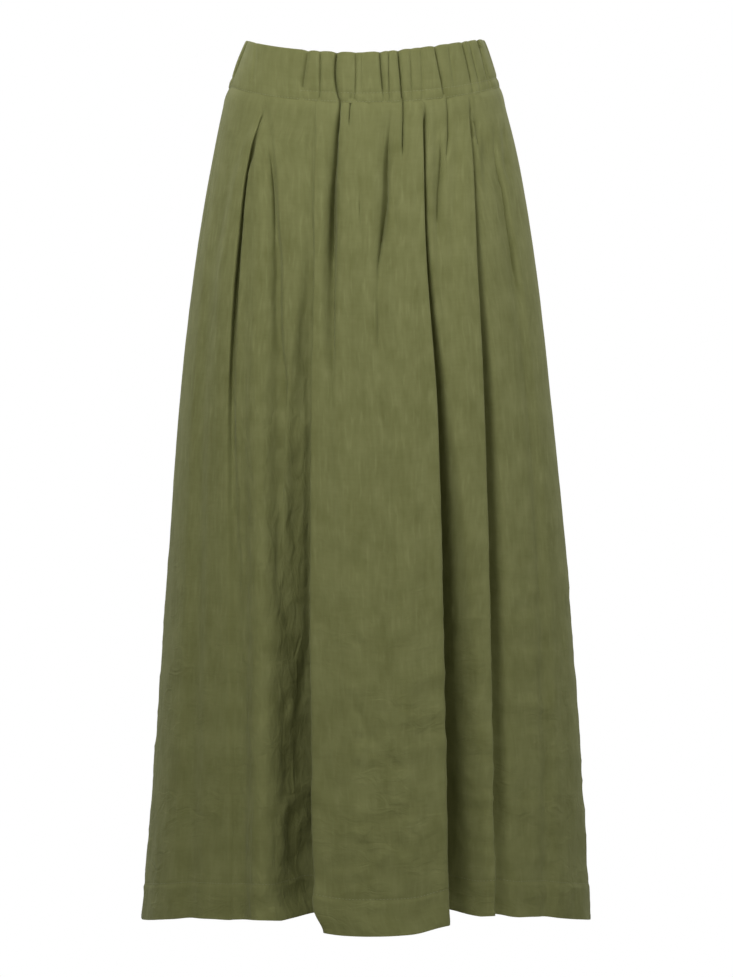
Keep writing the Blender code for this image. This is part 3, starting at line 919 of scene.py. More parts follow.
# Creases of the front, seen from the front: depth, left, right, sharp, ease, columns before, path
FRONT_CREASES = {
    Zone.CENTRE: (
        (5.0, 1.5, 1.6, 0.7, 0.3, 0, (341, 78, 340.6, 98, 339.6, 108, 338.4, 120, 337, 139)),
        (6.6, 2.4, 1.5, 0.7, 0.24, 20, (339.6, 104, 337.8, 122, 337, 139, 336.2, 162, 334.8, 185, 334, 208,
            333.2, 246, 333, 276)),
        (5.4, 6, 2.2, 0.5, 0.42, 0, (335, 160, 333.4, 249, 332.6, 311, 331.6, 430)),
        (2.6, 1.4, 1.7, 0.7, 0.25, 0, (359, 188, 360, 216, 362, 246)),
        (2.4, 1.4, 1.7, 0.7, 0.25, 0, (394, 196, 396, 218, 399, 236)),
        (2.0, 1.6, 2, 0.5, 0.25, 0, (378, 300, 378.4, 326, 378, 356)),
        (1.4, 1.5, 1.8, 0.5, 0.25, 0, (389, 312, 389.6, 330, 389, 352)),
        (3.2, 1.1, 1.4, 0.8, 0.25, 32, (351.4, 82, 350.6, 98, 349.6, 112, 348.6, 128)),
        (1.1, 2, 2, 0.6, 0.25, 0, (369, 94, 369, 112)),
        (6.4, 2.4, 2.8, 0.6, 0.36, 63, (391, 112, 389.6, 130, 387.4, 152, 386, 177, 385.4, 204, 382.4, 236,
            379.2, 262, 377.6, 296)),
        (4.4, 1.4, 1.7, 0.7, 0.25, 75, (402.6, 84, 403.6, 112, 403, 132, 402.4, 160)),
        (1.0, 1.5, 1.5, 0.6, 0.25, 0, (413.5, 96, 414, 112)),
    ),
    Zone.NARROW: (
        (3.2, 1.8, 2.6, 0.6, 0.25, 13, (440, 136, 440, 160, 437.8, 196, 437, 236)),
        (2.8, 1.4, 1.7, 0.7, 0.25, 20, (445, 86, 448, 108, 448.4, 136, 446, 164)),
    ),
    Zone.RIGHT_SIDE: (
        (3.0, 1.3, 1.5, 0.7, 0.25, 4, (472.8, 112, 476.4, 128, 480, 150)),
        (2.8, 2.6, 3.4, 0.4, 0.25, 0, (483, 140, 484.4, 160, 485.6, 190)),
        (3.3, 2.2, 3.0, 0.5, 0.25, 12, (494, 120, 495.5, 158, 498.5, 176, 503, 190, 506, 217, 511, 249, 515,
            280, 522, 314)),
        (2.6, 2.2, 2.4, 0.4, 0.25, 0, (503, 124, 505.4, 152, 507, 180)),
        (1.5, 1.8, 2.4, 0.4, 0.25, 0, (486, 166, 488.6, 190, 490, 226)),
        (1.5, 2.4, 3, 0.3, 0.25, 0, (498, 228, 502, 266, 505, 312)),
        (1.0, 1.6, 1.6, 0.5, 0.25, 0, (475, 88, 475.6, 104)),
        (0.7, 1.6, 1.6, 0.5, 0.25, 0, (484, 90, 484, 105)),
    ),
    None: (
        (3.8, 1.1, 1.3, 0.8, 0.12, 0, (263, 115.5, 260, 122, 257.6, 130, 254.6, 141, 252.6, 152, 250.6,
            164)),
    ),
    Zone.RECESS: (
        (2.2, 2.2, 2.2, 0.0, 0.25, 0, (263.2, 144, 263.7, 168, 263.7, 194)),
        (3.4, 1.3, 1.7, 0.7, 0.42, 22, (266, 140, 269, 152, 271.6, 166, 274, 196, 275, 226, 275.4, 256)),
        (3.4, 3.8, 6.0, 0.35, 0.2, 0, (275, 222, 277.5, 255, 276.5, 311, 280, 358, 284, 390, 287, 440)),
        (6.4, 8.0, 18.0, 0.5, 0.25, 0, (280, 340, 281, 420, 280, 500, 279, 560, 280, 630)),
        (-2.8, 6.0, 5.0, 0.2, 0.3, 0, (305, 352, 304, 430, 303, 510, 303, 640)),
        (0.9, 2.4, 2.4, 0.0, 0.25, 0, (285, 131, 282, 149)),
        (1.6, 2.6, 3.4, 0.0, 0.25, 0, (307, 134, 307.6, 150, 306, 164)),
        (1.8, 1.5, 1.5, 0.7, 0.25, 0, (315.6, 120, 316.2, 140, 313.4, 176, 311.8, 210)),
        (1.4, 3, 3, 0.3, 0.25, 0, (303, 300, 302, 336, 299, 370)),
        (1.6, 2, 3, 0.3, 0.25, 0, (309, 306, 308.6, 344, 307, 396, 308, 430)),
    ),
}

# Crumples of the front, seen from the front: x and y at one end, the middle and the other, and depth
CRUMPLES = {
    Zone.RECESS: (
        (281, 352, 284, 370, 283, 392, 1.2), (292, 396, 296, 414, 291, 436, 1.7),
        (305, 418, 302, 434, 306, 452, -1.3), (284, 428, 281, 446, 285, 462, 1.4),
        (297, 452, 301, 466, 295, 488, 1.8), (288, 486, 285, 504, 290, 522, -1.5),
        (298, 508, 294, 528, 297, 548, 2.3), (283, 536, 287, 554, 283, 576, 1.6),
        (289, 580, 284, 604, 289, 636, 2.8), (299, 604, 302, 632, 299, 662, -2.2),
        (306, 650, 303, 690, 297, 722, 3.6), (286, 664, 291, 700, 290, 732, -2.4),
        (296, 690, 286, 702, 279, 718, 2.1), (300, 730, 297, 754, 302, 786, 3.3),
        (283, 742, 287, 776, 284, 806, 2.7), (307, 776, 308, 800, 305, 832, -2.4),
        (297, 796, 288, 806, 280, 822, -1.8), (293, 800, 290, 836, 293, 866, 3.4),
        (304, 840, 300, 864, 305, 890, 2.8), (278, 812, 281, 850, 278, 880, -2.1),
        (277, 868, 288, 858, 300, 864, 2.2), (286, 886, 298, 877, 309, 882, -2.1),
    ),
    Zone.CENTRE: (
        (352, 636, 360, 644, 364, 662, 1.3), (372, 604, 380, 622, 378, 650, 1.1),
        (338, 682, 352, 690, 372, 686, -1.3), (348, 706, 360, 712, 366, 734, 1.9),
        (352, 742, 366, 738, 384, 744, 1.9), (350, 756, 366, 762, 380, 758, -1.6),
        (384, 756, 392, 764, 406, 768, 1.9), (398, 722, 412, 718, 426, 722, -1.6),
        (388, 800, 402, 806, 412, 798, -0.9), (384, 814, 396, 819, 410, 814, 1.1),
        (348, 806, 360, 814, 376, 812, -1.3), (349, 832, 359, 837, 371, 833, -1.9),
        (356, 844, 368, 850, 376, 862, 1.4), (374, 866, 384, 858, 392, 846, -1.9),
        (396, 838, 402, 850, 414, 852, 1.6), (408, 818, 418, 828, 424, 846, -1.3),
        (330, 872, 348, 878, 372, 874, -1.4),
    ),
    Zone.NARROW: (
        (458, 700, 464, 716, 461, 736, 1.3), (466, 770, 474, 786, 470, 806, -1.3),
        (456, 830, 466, 838, 474, 834, 1.4),
    ),
    Zone.RIGHT_SIDE: (
        (507, 574, 517, 572, 528, 575, -1.0), (519, 595, 531, 592, 548, 594, -1.1),
        (540, 578, 542, 592, 541, 604, -0.8), (512, 640, 524, 648, 540, 646, 1.0),
        (527, 700, 540, 709, 558, 711, -1.3), (518, 722, 532, 728, 545, 724, 1.3),
        (527, 762, 545, 757, 571, 760, -1.3), (515, 776, 522, 790, 524, 812, 1.4),
        (523, 812, 543, 807, 563, 811, -1.6), (536, 826, 550, 834, 566, 832, 1.3),
        (523, 862, 545, 858, 563, 862, -1.3), (548, 672, 556, 690, 554, 712, -0.8),
    ),
    Zone.LEFT_SIDE: (
        (176, 700, 186, 712, 200, 710, 0.8), (196, 800, 206, 812, 222, 812, -1.0),
        (160, 850, 176, 846, 192, 852, -1.0), (204, 846, 214, 858, 228, 858, 1.0),
    ),
}

# Creases of the back, placed on its cloth: depth, left, right, sharp, and the path across and down
BACK_CREASES = (
    (3.4, 5, 4, 0.3, (-150, 12, -154, 60, -160, 118)),
    (4.2, 3, 3, 0.6, (-118, 6, -120, 46, -117, 90)),
    (3.8, 6, 5, 0.3, (-82, 8, -85, 70, -92, 150, -96, 236)),
    (4.4, 3, 2.6, 0.7, (-55, 6, -54, 40, -57, 78)),
    (4.0, 5, 7, 0.3, (-22, 8, -24, 60, -28, 130, -30, 210)),
    (4.2, 2.8, 3, 0.7, (6, 6, 7, 40, 5, 84)),
    (4.2, 7, 5, 0.3, (34, 8, 38, 70, 44, 160, 46, 262)),
    (4.2, 3, 3, 0.6, (66, 6, 66, 44, 70, 92)),
    (3.6, 5, 6, 0.3, (96, 8, 101, 66, 109, 144)),
    (3.8, 3, 3, 0.6, (132, 6, 134, 44, 139, 86)),
    (2.8, 4, 5, 0.2, (158, 14, 164, 70, 172, 128)),
    (2.6, 9, 7, 0.0, (-236, 520, -228, 600, -233, 690)),
    (2.4, 8, 9, 0.0, (-122, 470, -130, 560, -124, 660)),
    (2.4, 8, 8, 0.0, (60, 560, 66, 640, 58, 730)),
    (2.6, 8, 9, 0.0, (214, 500, 222, 590, 216, 680)),
    (1.9, 6, 7, 0.0, (-310, 640, -290, 655, -268, 650)),
    (1.9, 6, 7, 0.0, (262, 610, 284, 622, 306, 616)),
    (1.8, 6, 6, 0.0, (-44, 690, -20, 700, 4, 694)),
)


# A crumple's widths to the left and right, and how sharp it is
CRUMPLE_SHAPE = (3.4, 4.4, 0.4)


def pairs(values: tuple[float, ...]) -> tuple[Pair, ...]:
    """Read a path's first and second coordinates in turn."""
    return tuple(zip(values[::2], values[1::2]))


def front_creases() -> list[Crease]:
    """The front's creases and crumples, from their tables.

    Returns:
        All of them, zone by zone.
    """
    made = []
    for zone, rows in FRONT_CREASES.items():
        made += [Crease(pairs(path), *shape, zone, columns) for *shape, columns, path in rows]
    for zone, rows in CRUMPLES.items():
        made += [Crease(pairs(path), depth, *CRUMPLE_SHAPE, zone=zone) for *path, depth in rows]
    return made


@dataclass(frozen=True)
class StitchRun:
    """A line on the cloth that stitches follow: its points and the directions out of the cloth."""

    points: Array
    normals: Array

    @staticmethod
    def along_row(grid: ClothGrid, row: int) -> "StitchRun":
        """The line that one row of a sheet's outer side makes."""
        return StitchRun(grid.faces_of(1)[row], grid.normals()[row])

    @staticmethod
    def beside_edge(grid: ClothGrid, end: int, inset: float, high: float, low: float) -> "StitchRun":
        """A line down a sheet's outer side, beside its edge.

        Args:
            grid: the sheet.
            end: 0 for its first column, -1 for its last.
            inset: distance from the edge.
            high: where the line starts, below the waist seam.
            low: where it ends.

        Returns:
            The line.
        """
        outer, normals, across = grid.faces_of(1), grid.normals(), grid.across()
        rows = [i for i, depth in enumerate(grid.down[:, 0]) if high <= depth <= low]
        points, out = [], []
        for i in rows:
            at = across[i, end] + (inset if end == 0 else -inset)
            points.append(read_along(at, across[i], outer[i]))
            out.append(read_along(at, across[i], normals[i]))
        out = np.array(out)
        return StitchRun(np.array(points), out / np.linalg.norm(out, axis=1, keepdims=True))


@dataclass
class ClothPiece:
    """A sheet of cloth in its finish."""

    figure: Figure
    linen: LinenFinish
    name: str
    grid: ClothGrid | None = field(default=None, kw_only=True)

    def shaped(self) -> ClothGrid:
        """The whole sheet's grid."""
        raise NotImplementedError

    def build(self) -> Object:
        """Make the sheet and give it its finish.

        Returns:
            The piece, linked to the scene.
        """
        self.grid = self.shaped()
        piece = self.grid.build(self.name)
        self.linen.dress(piece)
        return piece


@dataclass
class SkirtPanel(ClothPiece):
    """What the front and the back share: their rows, hem and crumples."""

    cloth: float = 0.9 * MM
    hem_cloth: float = 1.7 * MM
    hem_allowance: float = 35 * MM
    hem_lift_in_recess: float = 0.2
    hem_groove: float = 0.35 * MM
    hem_groove_width: float = 2.2 * MM
    hem_pucker: float = 0.8 * MM
    hem_pucker_reach: float = 16 * MM
    hem_pucker_lumps: Pair = (95, 20)
    hem_fold: Pair = (-1 * MM, 2 * MM)
    tuck: float = 5 * MM
    tuck_rows: Pair = (-1.0, -0.4)
    tuck_in: float = 0.9 * MM
    tuck_from: Pair = (-4 * MM, 2 * MM)
    seam_puff: float = 0.7 * MM
    seam_puff_below: float = 9 * MM
    seam_puff_reach: float = 8 * MM
    calm_by_seams: float = 26 * MM
    seam_gap: float = 0.3 * MM
    seam_gap_share: float = 0.2
    mouth_top: float = 38 * MM
    mouth_length: float = 150 * MM
    mouth_open: float = 1.4 * MM
    mouth_stitched: float = 6 * MM
    # Depths between which the rows are evenly spaced, the hem's own band, and the rows in each part
    row_marks: Pair = (60 * MM, 460 * MM)
    hem_band: float = 9 * MM
    row_counts: tuple[int, ...] = (20, 42, 66, 11, 8)
    crumpling: Crumpling = Crumpling(seed=3)

    def shares(self) -> Array:
        """The rows, as shares of the way from the waist seam to the hem.

        Returns:
            The shares, below 0 where the cloth is tucked into the waistband.
        """
        hem = SKIRT_LENGTH - self.hem_allowance
        marks = (0, *self.row_marks, hem - self.hem_band, hem + self.hem_band, SKIRT_LENGTH)
        spans = zip(marks, marks[1:], self.row_counts)
        parts = [np.linspace(high, low, rows, endpoint=False) for high, low, rows in spans]
        tucked = [share * self.tuck for share in self.tuck_rows]
        return np.concatenate([tucked, *parts, [SKIRT_LENGTH]]) / SKIRT_LENGTH

    def edge_gap(self, depth: float, opened: float) -> float:
        """How far short of a side seam the cloth ends, as an angle.

        Args:
            depth: distance below the waist seam.
            opened: 1 where the cloth's edge stands open at the pocket's mouth, else 0.

        Returns:
            The angle.
        """
        share = np.clip((depth - self.mouth_top) / self.mouth_length, 0, 1)
        mouth = opened * self.mouth_open * math.sin(math.pi * share)
        radius = float(self.figure.half_depth(0.0, self.figure.seam - depth))
        return (self.seam_gap_share * self.seam_gap + mouth) / radius

    def section(self, share: float) -> tuple[Array, Array, Array]:
        """Each column's angle, distance out and distance along, at a share of the way down."""
        raise NotImplementedError

    def centre_column(self) -> int:
        """The column that the weave is counted from."""
        raise NotImplementedError

    def grain(self, run: Array) -> Array:
        """Each point's place across the weave, from its distance along its row."""
        raise NotImplementedError

    def bridged(self, values: Array) -> Array:
        """Each point's value, led straight across where the cloth turns back."""
        return values

    def creased(self, grid: ClothGrid) -> Array:
        """The relief of this panel's own creases."""
        raise NotImplementedError

    def crinkled(self, down: Array) -> Array:
        """How finely crinkled each point's cloth is, from 0 to 1."""
        return 0 * down

    def row(self, share: float) -> Array:
        """The middle of the cloth along one row, at the heights of its seam and hem.

        Args:
            share: share of the way down from the waist seam to the hem.

        Returns:
            The row's points.
        """
        angle, out, along = self.section(share)
        points = self.figure.points(angle, self.figure.height(angle, share), out, along)
        lift = self.hem_lift_in_recess * np.maximum(-out, 0) * max(share, 0) ** 2
        points[:, 2] = self.figure.height(self.figure.angle_at(points), share) + lift
        return points

    def shaped(self) -> ClothGrid:
        """The whole sheet's grid, creased and crumpled.

        Returns:
            The grid, with its weave's directions.
        """
        shares, hem = self.shares(), SKIRT_LENGTH - self.hem_allowance
        middle = np.array([self.row(share) for share in shares])
        down = shares[:, None] * SKIRT_LENGTH + np.zeros(middle.shape[1])
        turned_up = smooth_step(down, *(hem + at for at in self.hem_fold))
        half = 0.5 * (self.cloth + (self.hem_cloth - self.cloth) * turned_up)
        grid = ClothGrid(middle, down, half, half, self.centre_column())
        run = grid.across()
        across = grid.grain = self.grain(run)
        calm = smooth_step(np.minimum(run - run[:, :1], run[:, -1:] - run), 0, self.calm_by_seams)
        relief = self.bridged(self.crumpling.relief(across, down)) * calm
        from_stitches = down - hem
        relief = relief - self.hem_groove * np.exp(-((from_stitches / self.hem_groove_width) ** 2))
        wide, tall = self.hem_pucker_lumps
        rippled = cloth_noise(across * wide + 7, down * tall + 3, self.crumpling.seed + 30) - 0.5
        rippled = self.bridged(rippled) * calm * window(from_stitches, self.hem_pucker_reach)
        relief = relief + 2 * self.hem_pucker * rippled
        top = np.exp(-(((down - self.seam_puff_below) / self.seam_puff_reach) ** 2))
        relief = relief + self.seam_puff * top - self.tuck_in * smooth_step(-down, *self.tuck_from)
        grid.push(relief)
        grid.push(self.creased(grid))
        grid.crinkled = self.crinkled(down)
        return grid

    def hem_row(self) -> int:
        """The row that the hem's stitches follow."""
        hem = SKIRT_LENGTH - self.hem_allowance
        return int(np.argmin(np.abs(self.shares() * SKIRT_LENGTH - hem)))


@dataclass(frozen=True)
class Layout:
    """One row of the front: where its zones start and end, its pleats' turns and how far out it is."""

    starts: list[float]
    ends: list[float]
    backs: list[float]
    level: Callable[[int, Array], Array]


@dataclass
class FrontPanel(SkirtPanel):
    """The front, in one piece, with four pleats stitched down below the waist seam."""

    name: str = "linen_front"
    eye: Viewpoint = Viewpoint()
    spans: tuple[int, ...] = (33, 54, 94, 38, 40)
    turn_steps: int = 17
    closeness: float = 0.6
    guide_places: int = 241
    pleat_flat: float = 0.35
    fold_top_spread: float = 0.7
    fold_limit: float = 0.999
    # Distances down between which the folded-away part is crinkled, and the centre a little
    crinkled_from: Pair = (0.12, 0.34)
    centre_crinkled: float = 0.25
    centre_crinkled_to: Pair = (0.25, 0.45)
    creases: list[Crease] = field(default_factory=front_creases)
    guides: dict[Crease, Array] = field(default_factory=dict)

    def centre_column(self) -> int:
        """The column at the middle of the centre part."""
        centre = Zone.CENTRE.value
        return self.first_columns()[centre] + self.spans[centre] // 2

    def first_columns(self) -> list[int]:
        """The column at the left of each zone."""
        return [0, *np.cumsum(np.array(self.spans[:-1]) + self.turn_steps).tolist()]

    def bridged(self, values: Array) -> Array:
        """Each point's value, led straight across where the cloth turns back.

        Args:
            values: a value for each point.

        Returns:
            The values, even across each turn.
        """
        led = values.copy()
        for first in self.first_columns()[1:]:
            before, v = first - self.turn_steps, np.linspace(0, 1, self.turn_steps + 1)
            led[:, before : first + 1] = led[:, before : before + 1] * (1 - v) + led[:, first : first + 1] * v
        return led

    def grain(self, run: Array) -> Array:
        """Each point's place across the weave: straight down the middle of each zone.

        Args:
            run: each point's distance along its row.

        Returns:
            The places, in metres.
        """
        grain = run.copy()
        for first, columns in zip(self.first_columns(), self.spans):
            middle = first + columns // 2
            grain[:, first : first + columns + 1] += run[:, middle].mean() - run[:, middle : middle + 1]
        return self.bridged(grain)

    def guided(self, zone: int) -> list[Crease]:
        """The creases that columns of a zone follow, from left to right."""
        found = [c for c in self.creases if c.columns_before and c.zone is Zone(zone)]
        return sorted(found, key=lambda crease: crease.columns_before)

    def lay_guides(self) -> None:
        """Find where each guiding crease crosses the rows, as shares of its zone's width."""
        fine = np.linspace(0, 1, self.guide_places)
        self.guides = {}
        for zone, columns in enumerate(self.spans):
            for crease in self.guided(zone):
                path, found = np.array(crease.path), []
                for share in self.shares()[len(self.tuck_rows) :]:
                    lay = self.layout(share)
                    angle = lay.starts[zone] + (lay.ends[zone] - lay.starts[zone]) * fine
                    z, out = self.figure.height(angle, share), lay.level(zone, angle)
                    across, down = self.eye.seen(self.figure.points(angle, z, out, 0 * angle))
                    apart = np.maximum.accumulate(across - np.interp(down, path[:, 1], path[:, 0]))
                    place = float(np.interp(0.0, apart, fine))
                    if path[0, 1] <= np.interp(place, fine, down) <= path[-1, 1]:
                        found.append((share, place))
                found.append((1.0, crease.columns_before / columns))
                self.guides[crease] = np.array(found)

    def column_shares(self, zone: int, share: float) -> Array:
        """The columns of a zone along one row, as shares of its width, closest together at its creases.

        Args:
            zone: the zone's number, from the left.
            share: share of the way down from the waist seam to the hem.

        Returns:
            The shares, from 0 to 1.
        """
        if not self.guides:
            self.lay_guides()
        creases = self.guided(zone)
        marks = [0, *(crease.columns_before for crease in creases), self.spans[zone]]
        places = [0.0, *(float(np.interp(share, *self.guides[crease].T)) for crease in creases), 1.0]
        parts = []
        for i, columns in enumerate(np.diff(marks)):
            t = np.arange(columns) / columns
            eased = t - self.closeness * np.sin(2 * np.pi * t) / (2 * np.pi)
            parts.append(places[i] + (places[i + 1] - places[i]) * eased)
        return np.concatenate([*parts, [1.0]])

    def zone_shares(self) -> dict[Zone, Array]:
        """How much each column belongs to each zone.

        Returns:
            For each zone, a share for each column.
        """
        firsts, turn = self.first_columns(), self.turn_steps
        column = np.arange(firsts[-1] + self.spans[-1] + 1)
        return {
            zone: np.interp(column, [first - turn, first, first + span, first + span + turn], [0, 1, 1, 0])
            for zone, first, span in zip(Zone, firsts, self.spans)
        }

    def layout(self, share: float) -> Layout:
        """Where the zones lie and how far out their cloth is, at a share of the way down.

        Args:
            share: share of the way down from the waist seam to the hem.

        Returns:
            The row's layout.
        """
        figure = self.figure
        depth = share * SKIRT_LENGTH
        z = float(figure.height(0.0, share))
        wide = float(figure.half_width(z))
        radius = 0.5 * (wide + float(figure.half_depth(0.0, z)))
        turns = [pleat.turn_at(figure, depth, z) for pleat in PLEATS]
        at = [turn.angle for turn in turns]
        half_runs = [0.5 * turn.run / radius for turn in turns]
        gap = self.edge_gap(depth, 1.0)
        start, end = figure.ends()
        starts = [start + gap, *(a + h for a, h in zip(at, half_runs))]
        ends = [*(a - h for a, h in zip(at, half_runs)), end - gap]

        def level(zone: int, angle: Array) -> Array:
            """How far out the cloth of a zone is, with its folds and its side of each pleat.

            Args:
                zone: the zone's number, from the left.
                angle: angles round the garment.

            Returns:
                The distance out, in metres.
            """
            total = 0
            for index, pleat in enumerate(PLEATS):
                left, right = (pleat.left, pleat.left_spread), (pleat.right, pleat.right_spread)
                side = left if zone <= index else right
                out, spread = (smooth_path(values, depth) * MM for values in side)
                total = total + out * window((angle - at[index]) * radius, spread, self.pleat_flat)
            grown = self.fold_top_spread + (1 - self.fold_top_spread) * share
            for places, outs, left, right in FRONT_FOLDS:
                limit = self.fold_limit
                x = np.clip(smooth_path(places, depth) * MM / wide, -limit, limit)
                away = (angle - math.asin(x)) * radius
                spread = np.where(away < 0, left, right) * grown * MM
                total = total + smooth_path(outs, depth) * MM * window(away, spread)
            return total

        return Layout(starts, ends, [turn.back for turn in turns], level)

    def section(self, share: float) -> tuple[Array, Array, Array]:
        """Each column's angle, distance out and distance along, at a share of the way down.

        Args:
            share: share of the way down from the waist seam to the hem.

        Returns:
            The angles, the distances out and the distances along, in metres.
        """
        share = max(share, 0.0)
        lay = self.layout(share)
        angles, outs, alongs = [], [], []
        for zone, columns in enumerate(self.spans):
            span = lay.starts[zone] + (lay.ends[zone] - lay.starts[zone]) * self.column_shares(zone, share)
            angles.append(span)
            outs.append(lay.level(zone, span))
            alongs.append(np.zeros(columns + 1))
            if zone < len(PLEATS):
                v = np.linspace(0, 1, self.turn_steps + 1)[1:-1]
                rise = v * v * (3 - 2 * v)
                before, after = lay.ends[zone], lay.starts[zone + 1]
                angles.append(before * (1 - v) + after * v)
                outs.append(lay.level(zone, before) * (1 - rise) + lay.level(zone + 1, after) * rise)
                alongs.append(lay.backs[zone] * v * (2 * v - 1) * (v - 1))
        return np.concatenate(angles), np.concatenate(outs), np.concatenate(alongs)

    def crinkled(self, down: Array) -> Array:
        """How finely crinkled each point's cloth is: most between the pleats that fold away.

        Args:
            down: distances below the waist seam.

        Returns:
            The shares.
        """
        zones = self.zone_shares()
        high, low = self.centre_crinkled_to
        beside = self.centre_crinkled * zones[Zone.CENTRE] * smooth_step(-down, -low, -high)
        return smooth_step(down, *self.crinkled_from) * (zones[Zone.RECESS] + beside)

    def creased(self, grid: ClothGrid) -> Array:
        """The relief of the front's creases, placed as they are seen.

        Args:
            grid: the front's cloth before it is creased.

        Returns:
            The movement in metres.
        """
        across, down = self.eye.seen(grid.middle)
        zones = self.zone_shares()
        relief = 0 * across
        for crease in self.creases:
            share = 1.0 if crease.zone is None else zones[crease.zone]
            relief = relief + share * crease.relief(across, down)
        return relief


@dataclass
class BackPanel(SkirtPanel):
    """The back, in one piece, gathered into the waistband."""

    name: str = "linen_back"
    columns: int = 300
    fullness: float = 8 * MM
    fold_top_spread: float = 0.7
    fold_growth: float = 0.8
    gather_depth: float = 4.5 * MM
    gather_reach: float = 120 * MM
    gather_start: float = 14 * MM
    gather_spread: float = 8 * MM
    gather_seam: float = 0.1
    seat: float = 1.1 * MM

    def centre_column(self) -> int:
        """The middle column."""
        return self.columns // 2

    def section(self, share: float) -> tuple[Array, Array, Array]:
        """Each column's angle, distance out and distance along, at a share of the way down.

        Args:
            share: share of the way down from the waist seam to the hem.

        Returns:
            The angles, the distances out and the distances along, in metres.
        """
        figure, share = self.figure, max(share, 0.0)
        depth = share * SKIRT_LENGTH
        z = float(figure.height(math.pi, share))
        radius = 0.5 * (float(figure.half_width(z)) + float(figure.half_depth(math.pi, z)))
        gap = self.edge_gap(depth, 0.0)
        start, end = figure.ends(back=True)
        start, end = start + gap, end - gap
        angle = np.linspace(start, end, self.columns + 1)
        out = self.fullness * share * np.sin(math.pi * (angle - start) / (end - start))
        grown = self.fold_top_spread + (1 - self.fold_top_spread) * share
        for by_waist, by_hem, fold_depth, left, right in BACK_FOLDS:
            away = (angle - math.radians(by_waist + (by_hem - by_waist) * share)) * radius
            spread = np.where(away < 0, left, right) * grown * MM
            out = out - fold_depth * MM * share**self.fold_growth * window(away, spread)
        free = float(smooth_step(depth, 0, self.gather_start))
        out = out - self.seat * (1 - free)
        fading = self.gather_depth * math.exp(-((depth / self.gather_reach) ** 2))
        fading = fading * (self.gather_seam + (1 - self.gather_seam) * free)
        for at in back_gather_angles(figure)[::2]:
            out = out - fading * window((angle - at) * radius, self.gather_spread)
        return angle, out, 0 * angle

    def grain(self, run: Array) -> Array:
        """Each point's place across the weave: the gathered cloth spreads evenly from waist to hem."""
        return np.broadcast_to(run.mean(axis=0), run.shape)

    def creased(self, grid: ClothGrid) -> Array:
        """The relief of the back's creases, placed on its cloth.

        Args:
            grid: the back's cloth before it is creased.

        Returns:
            The movement in metres.
        """
        across, down = grid.across() / MM, grid.down / MM
        creases = [Crease(pairs(path), *shape) for *shape, path in BACK_CREASES]
        return sum(crease.relief(across, down) for crease in creases)


def back_gather_angles(figure: Figure, count: int = 26) -> Array:
    """The angles of the back's gathers, spaced unevenly.

    Args:
        figure: the garment's form.
        count: how many there are.

    Returns:
        The angles, from the right seam to the left one.
    """
    turn = np.arange(count)
    share = sum((size * np.sin(step * turn) for size, step in BACK_UNEVEN), (turn + 0.5) / count)
    start, end = figure.ends(back=True)
    return start + (end - start) * share


@dataclass(frozen=True)
class Gather:
    """A gather of the waistband: its angles at the top, middle and seam, and its depth and widths."""

    top: float
    middle: float
    seam: float
    depth: float
    left: float
    right: float
    through: float

    def at(self, share: float) -> float:
        """The gather's angle at a share of the way down the band."""
        rising, beyond = 1 - share, 2 * share - 1
        return self.top * rising * -beyond + 4 * self.middle * share * rising + self.seam * share * beyond


# Gathers of the waistband's front, seen from the front: across at the top, the middle and the seam,
# depth, widths to the left and right, and how much of each goes on through the stitched strip
FRONT_GATHERS = (
    (252.5, 251, 249, 0.9, 2.0, 2.0, 0.2),
    (308, 303.6, 301.6, 3.4, 1.6, 3.4, 0.3),
    (320.5, 320.6, 319.5, 2.0, 1.6, 1.8, 0.7),
    (337.2, 335.6, 340.6, 4.4, 1.5, 2.4, 1.0),
    (356, 356, 354.5, 2.0, 2.0, 1.6, 0.8),
    (362, 361.8, 361.5, 1.0, 1.8, 1.8, 0.3),
    (380, 381.6, 384.6, 3.8, 1.5, 2.4, 0.4),
    (388.6, 388.8, 389.6, 1.9, 1.5, 1.5, 0.6),
    (398, 400.2, 402.6, 4.4, 1.5, 2.2, 1.0),
    (410.6, 411, 411.6, 1.4, 1.9, 1.9, 0.6),
    (421, 421.6, 422.4, 1.1, 1.8, 1.8, 0.8),
    (435.4, 440.6, 445, 3.4, 1.6, 2.8, 0.7),
    (450, 453, 457, 0.9, 2.2, 2.2, 0.3),
    (464.5, 470.5, 474.5, 2.4, 1.6, 2.6, 0.5),
    (472, 478, 483, 1.2, 1.8, 1.8, 0.5),
    (482, 487.6, 493.4, 1.6, 1.8, 2.0, 0.4),
)

# Heights of the three places of each gather, and of the notches
GATHER_HEIGHTS = (0.018, -0.008, -0.032)
CRIMP_HEIGHT = -0.03

# Gathers further round the right of the front, which the front view doesn't show: degrees, depth
SIDE_GATHERS = ((68.5, 2.0), (83, 3.0), (89, 2.0), (93.5, 2.6))
# How far they lean, the sine's step from one to the next, and their widths and share in the strip
SIDE_LEAN = (0.018, 2.4)
SIDE_SHAPE = (1.7, 2.2, 0.5)

# Degrees of the front, and how much its casing puffs out above the stitched strip there
FRONT_STRIP_SHOWS = ((-32, 0.0), (-24, 0.7), (-18, 1.0), (26, 1.0), (36, 0.5), (60, 0.5), (80, 1.0))

# How the back's gathers vary: the mean, the swing, and the sine's step from one to the next
BACK_GATHERS = {
    "lean": (0.0, math.radians(1.2), 2.9),
    "bow": (0.0, math.radians(0.5), 4.1),
    "depth": (2.9, 1.1, 1.7),
    "through": (0.55, 0.4, 1.1),
    "crimp_at": (0.055, 0.02, 3.7),
    "crimp_depth": (0.7, 0.3, 5.3),
}
BACK_GATHER_WIDTHS = (1.7, 2.3)
BACK_CRIMP_WIDTH = 1.2
# How unevenly they are spaced: sizes and steps of two sines
BACK_UNEVEN = ((0.005, 7.3), (0.004, 2.1))

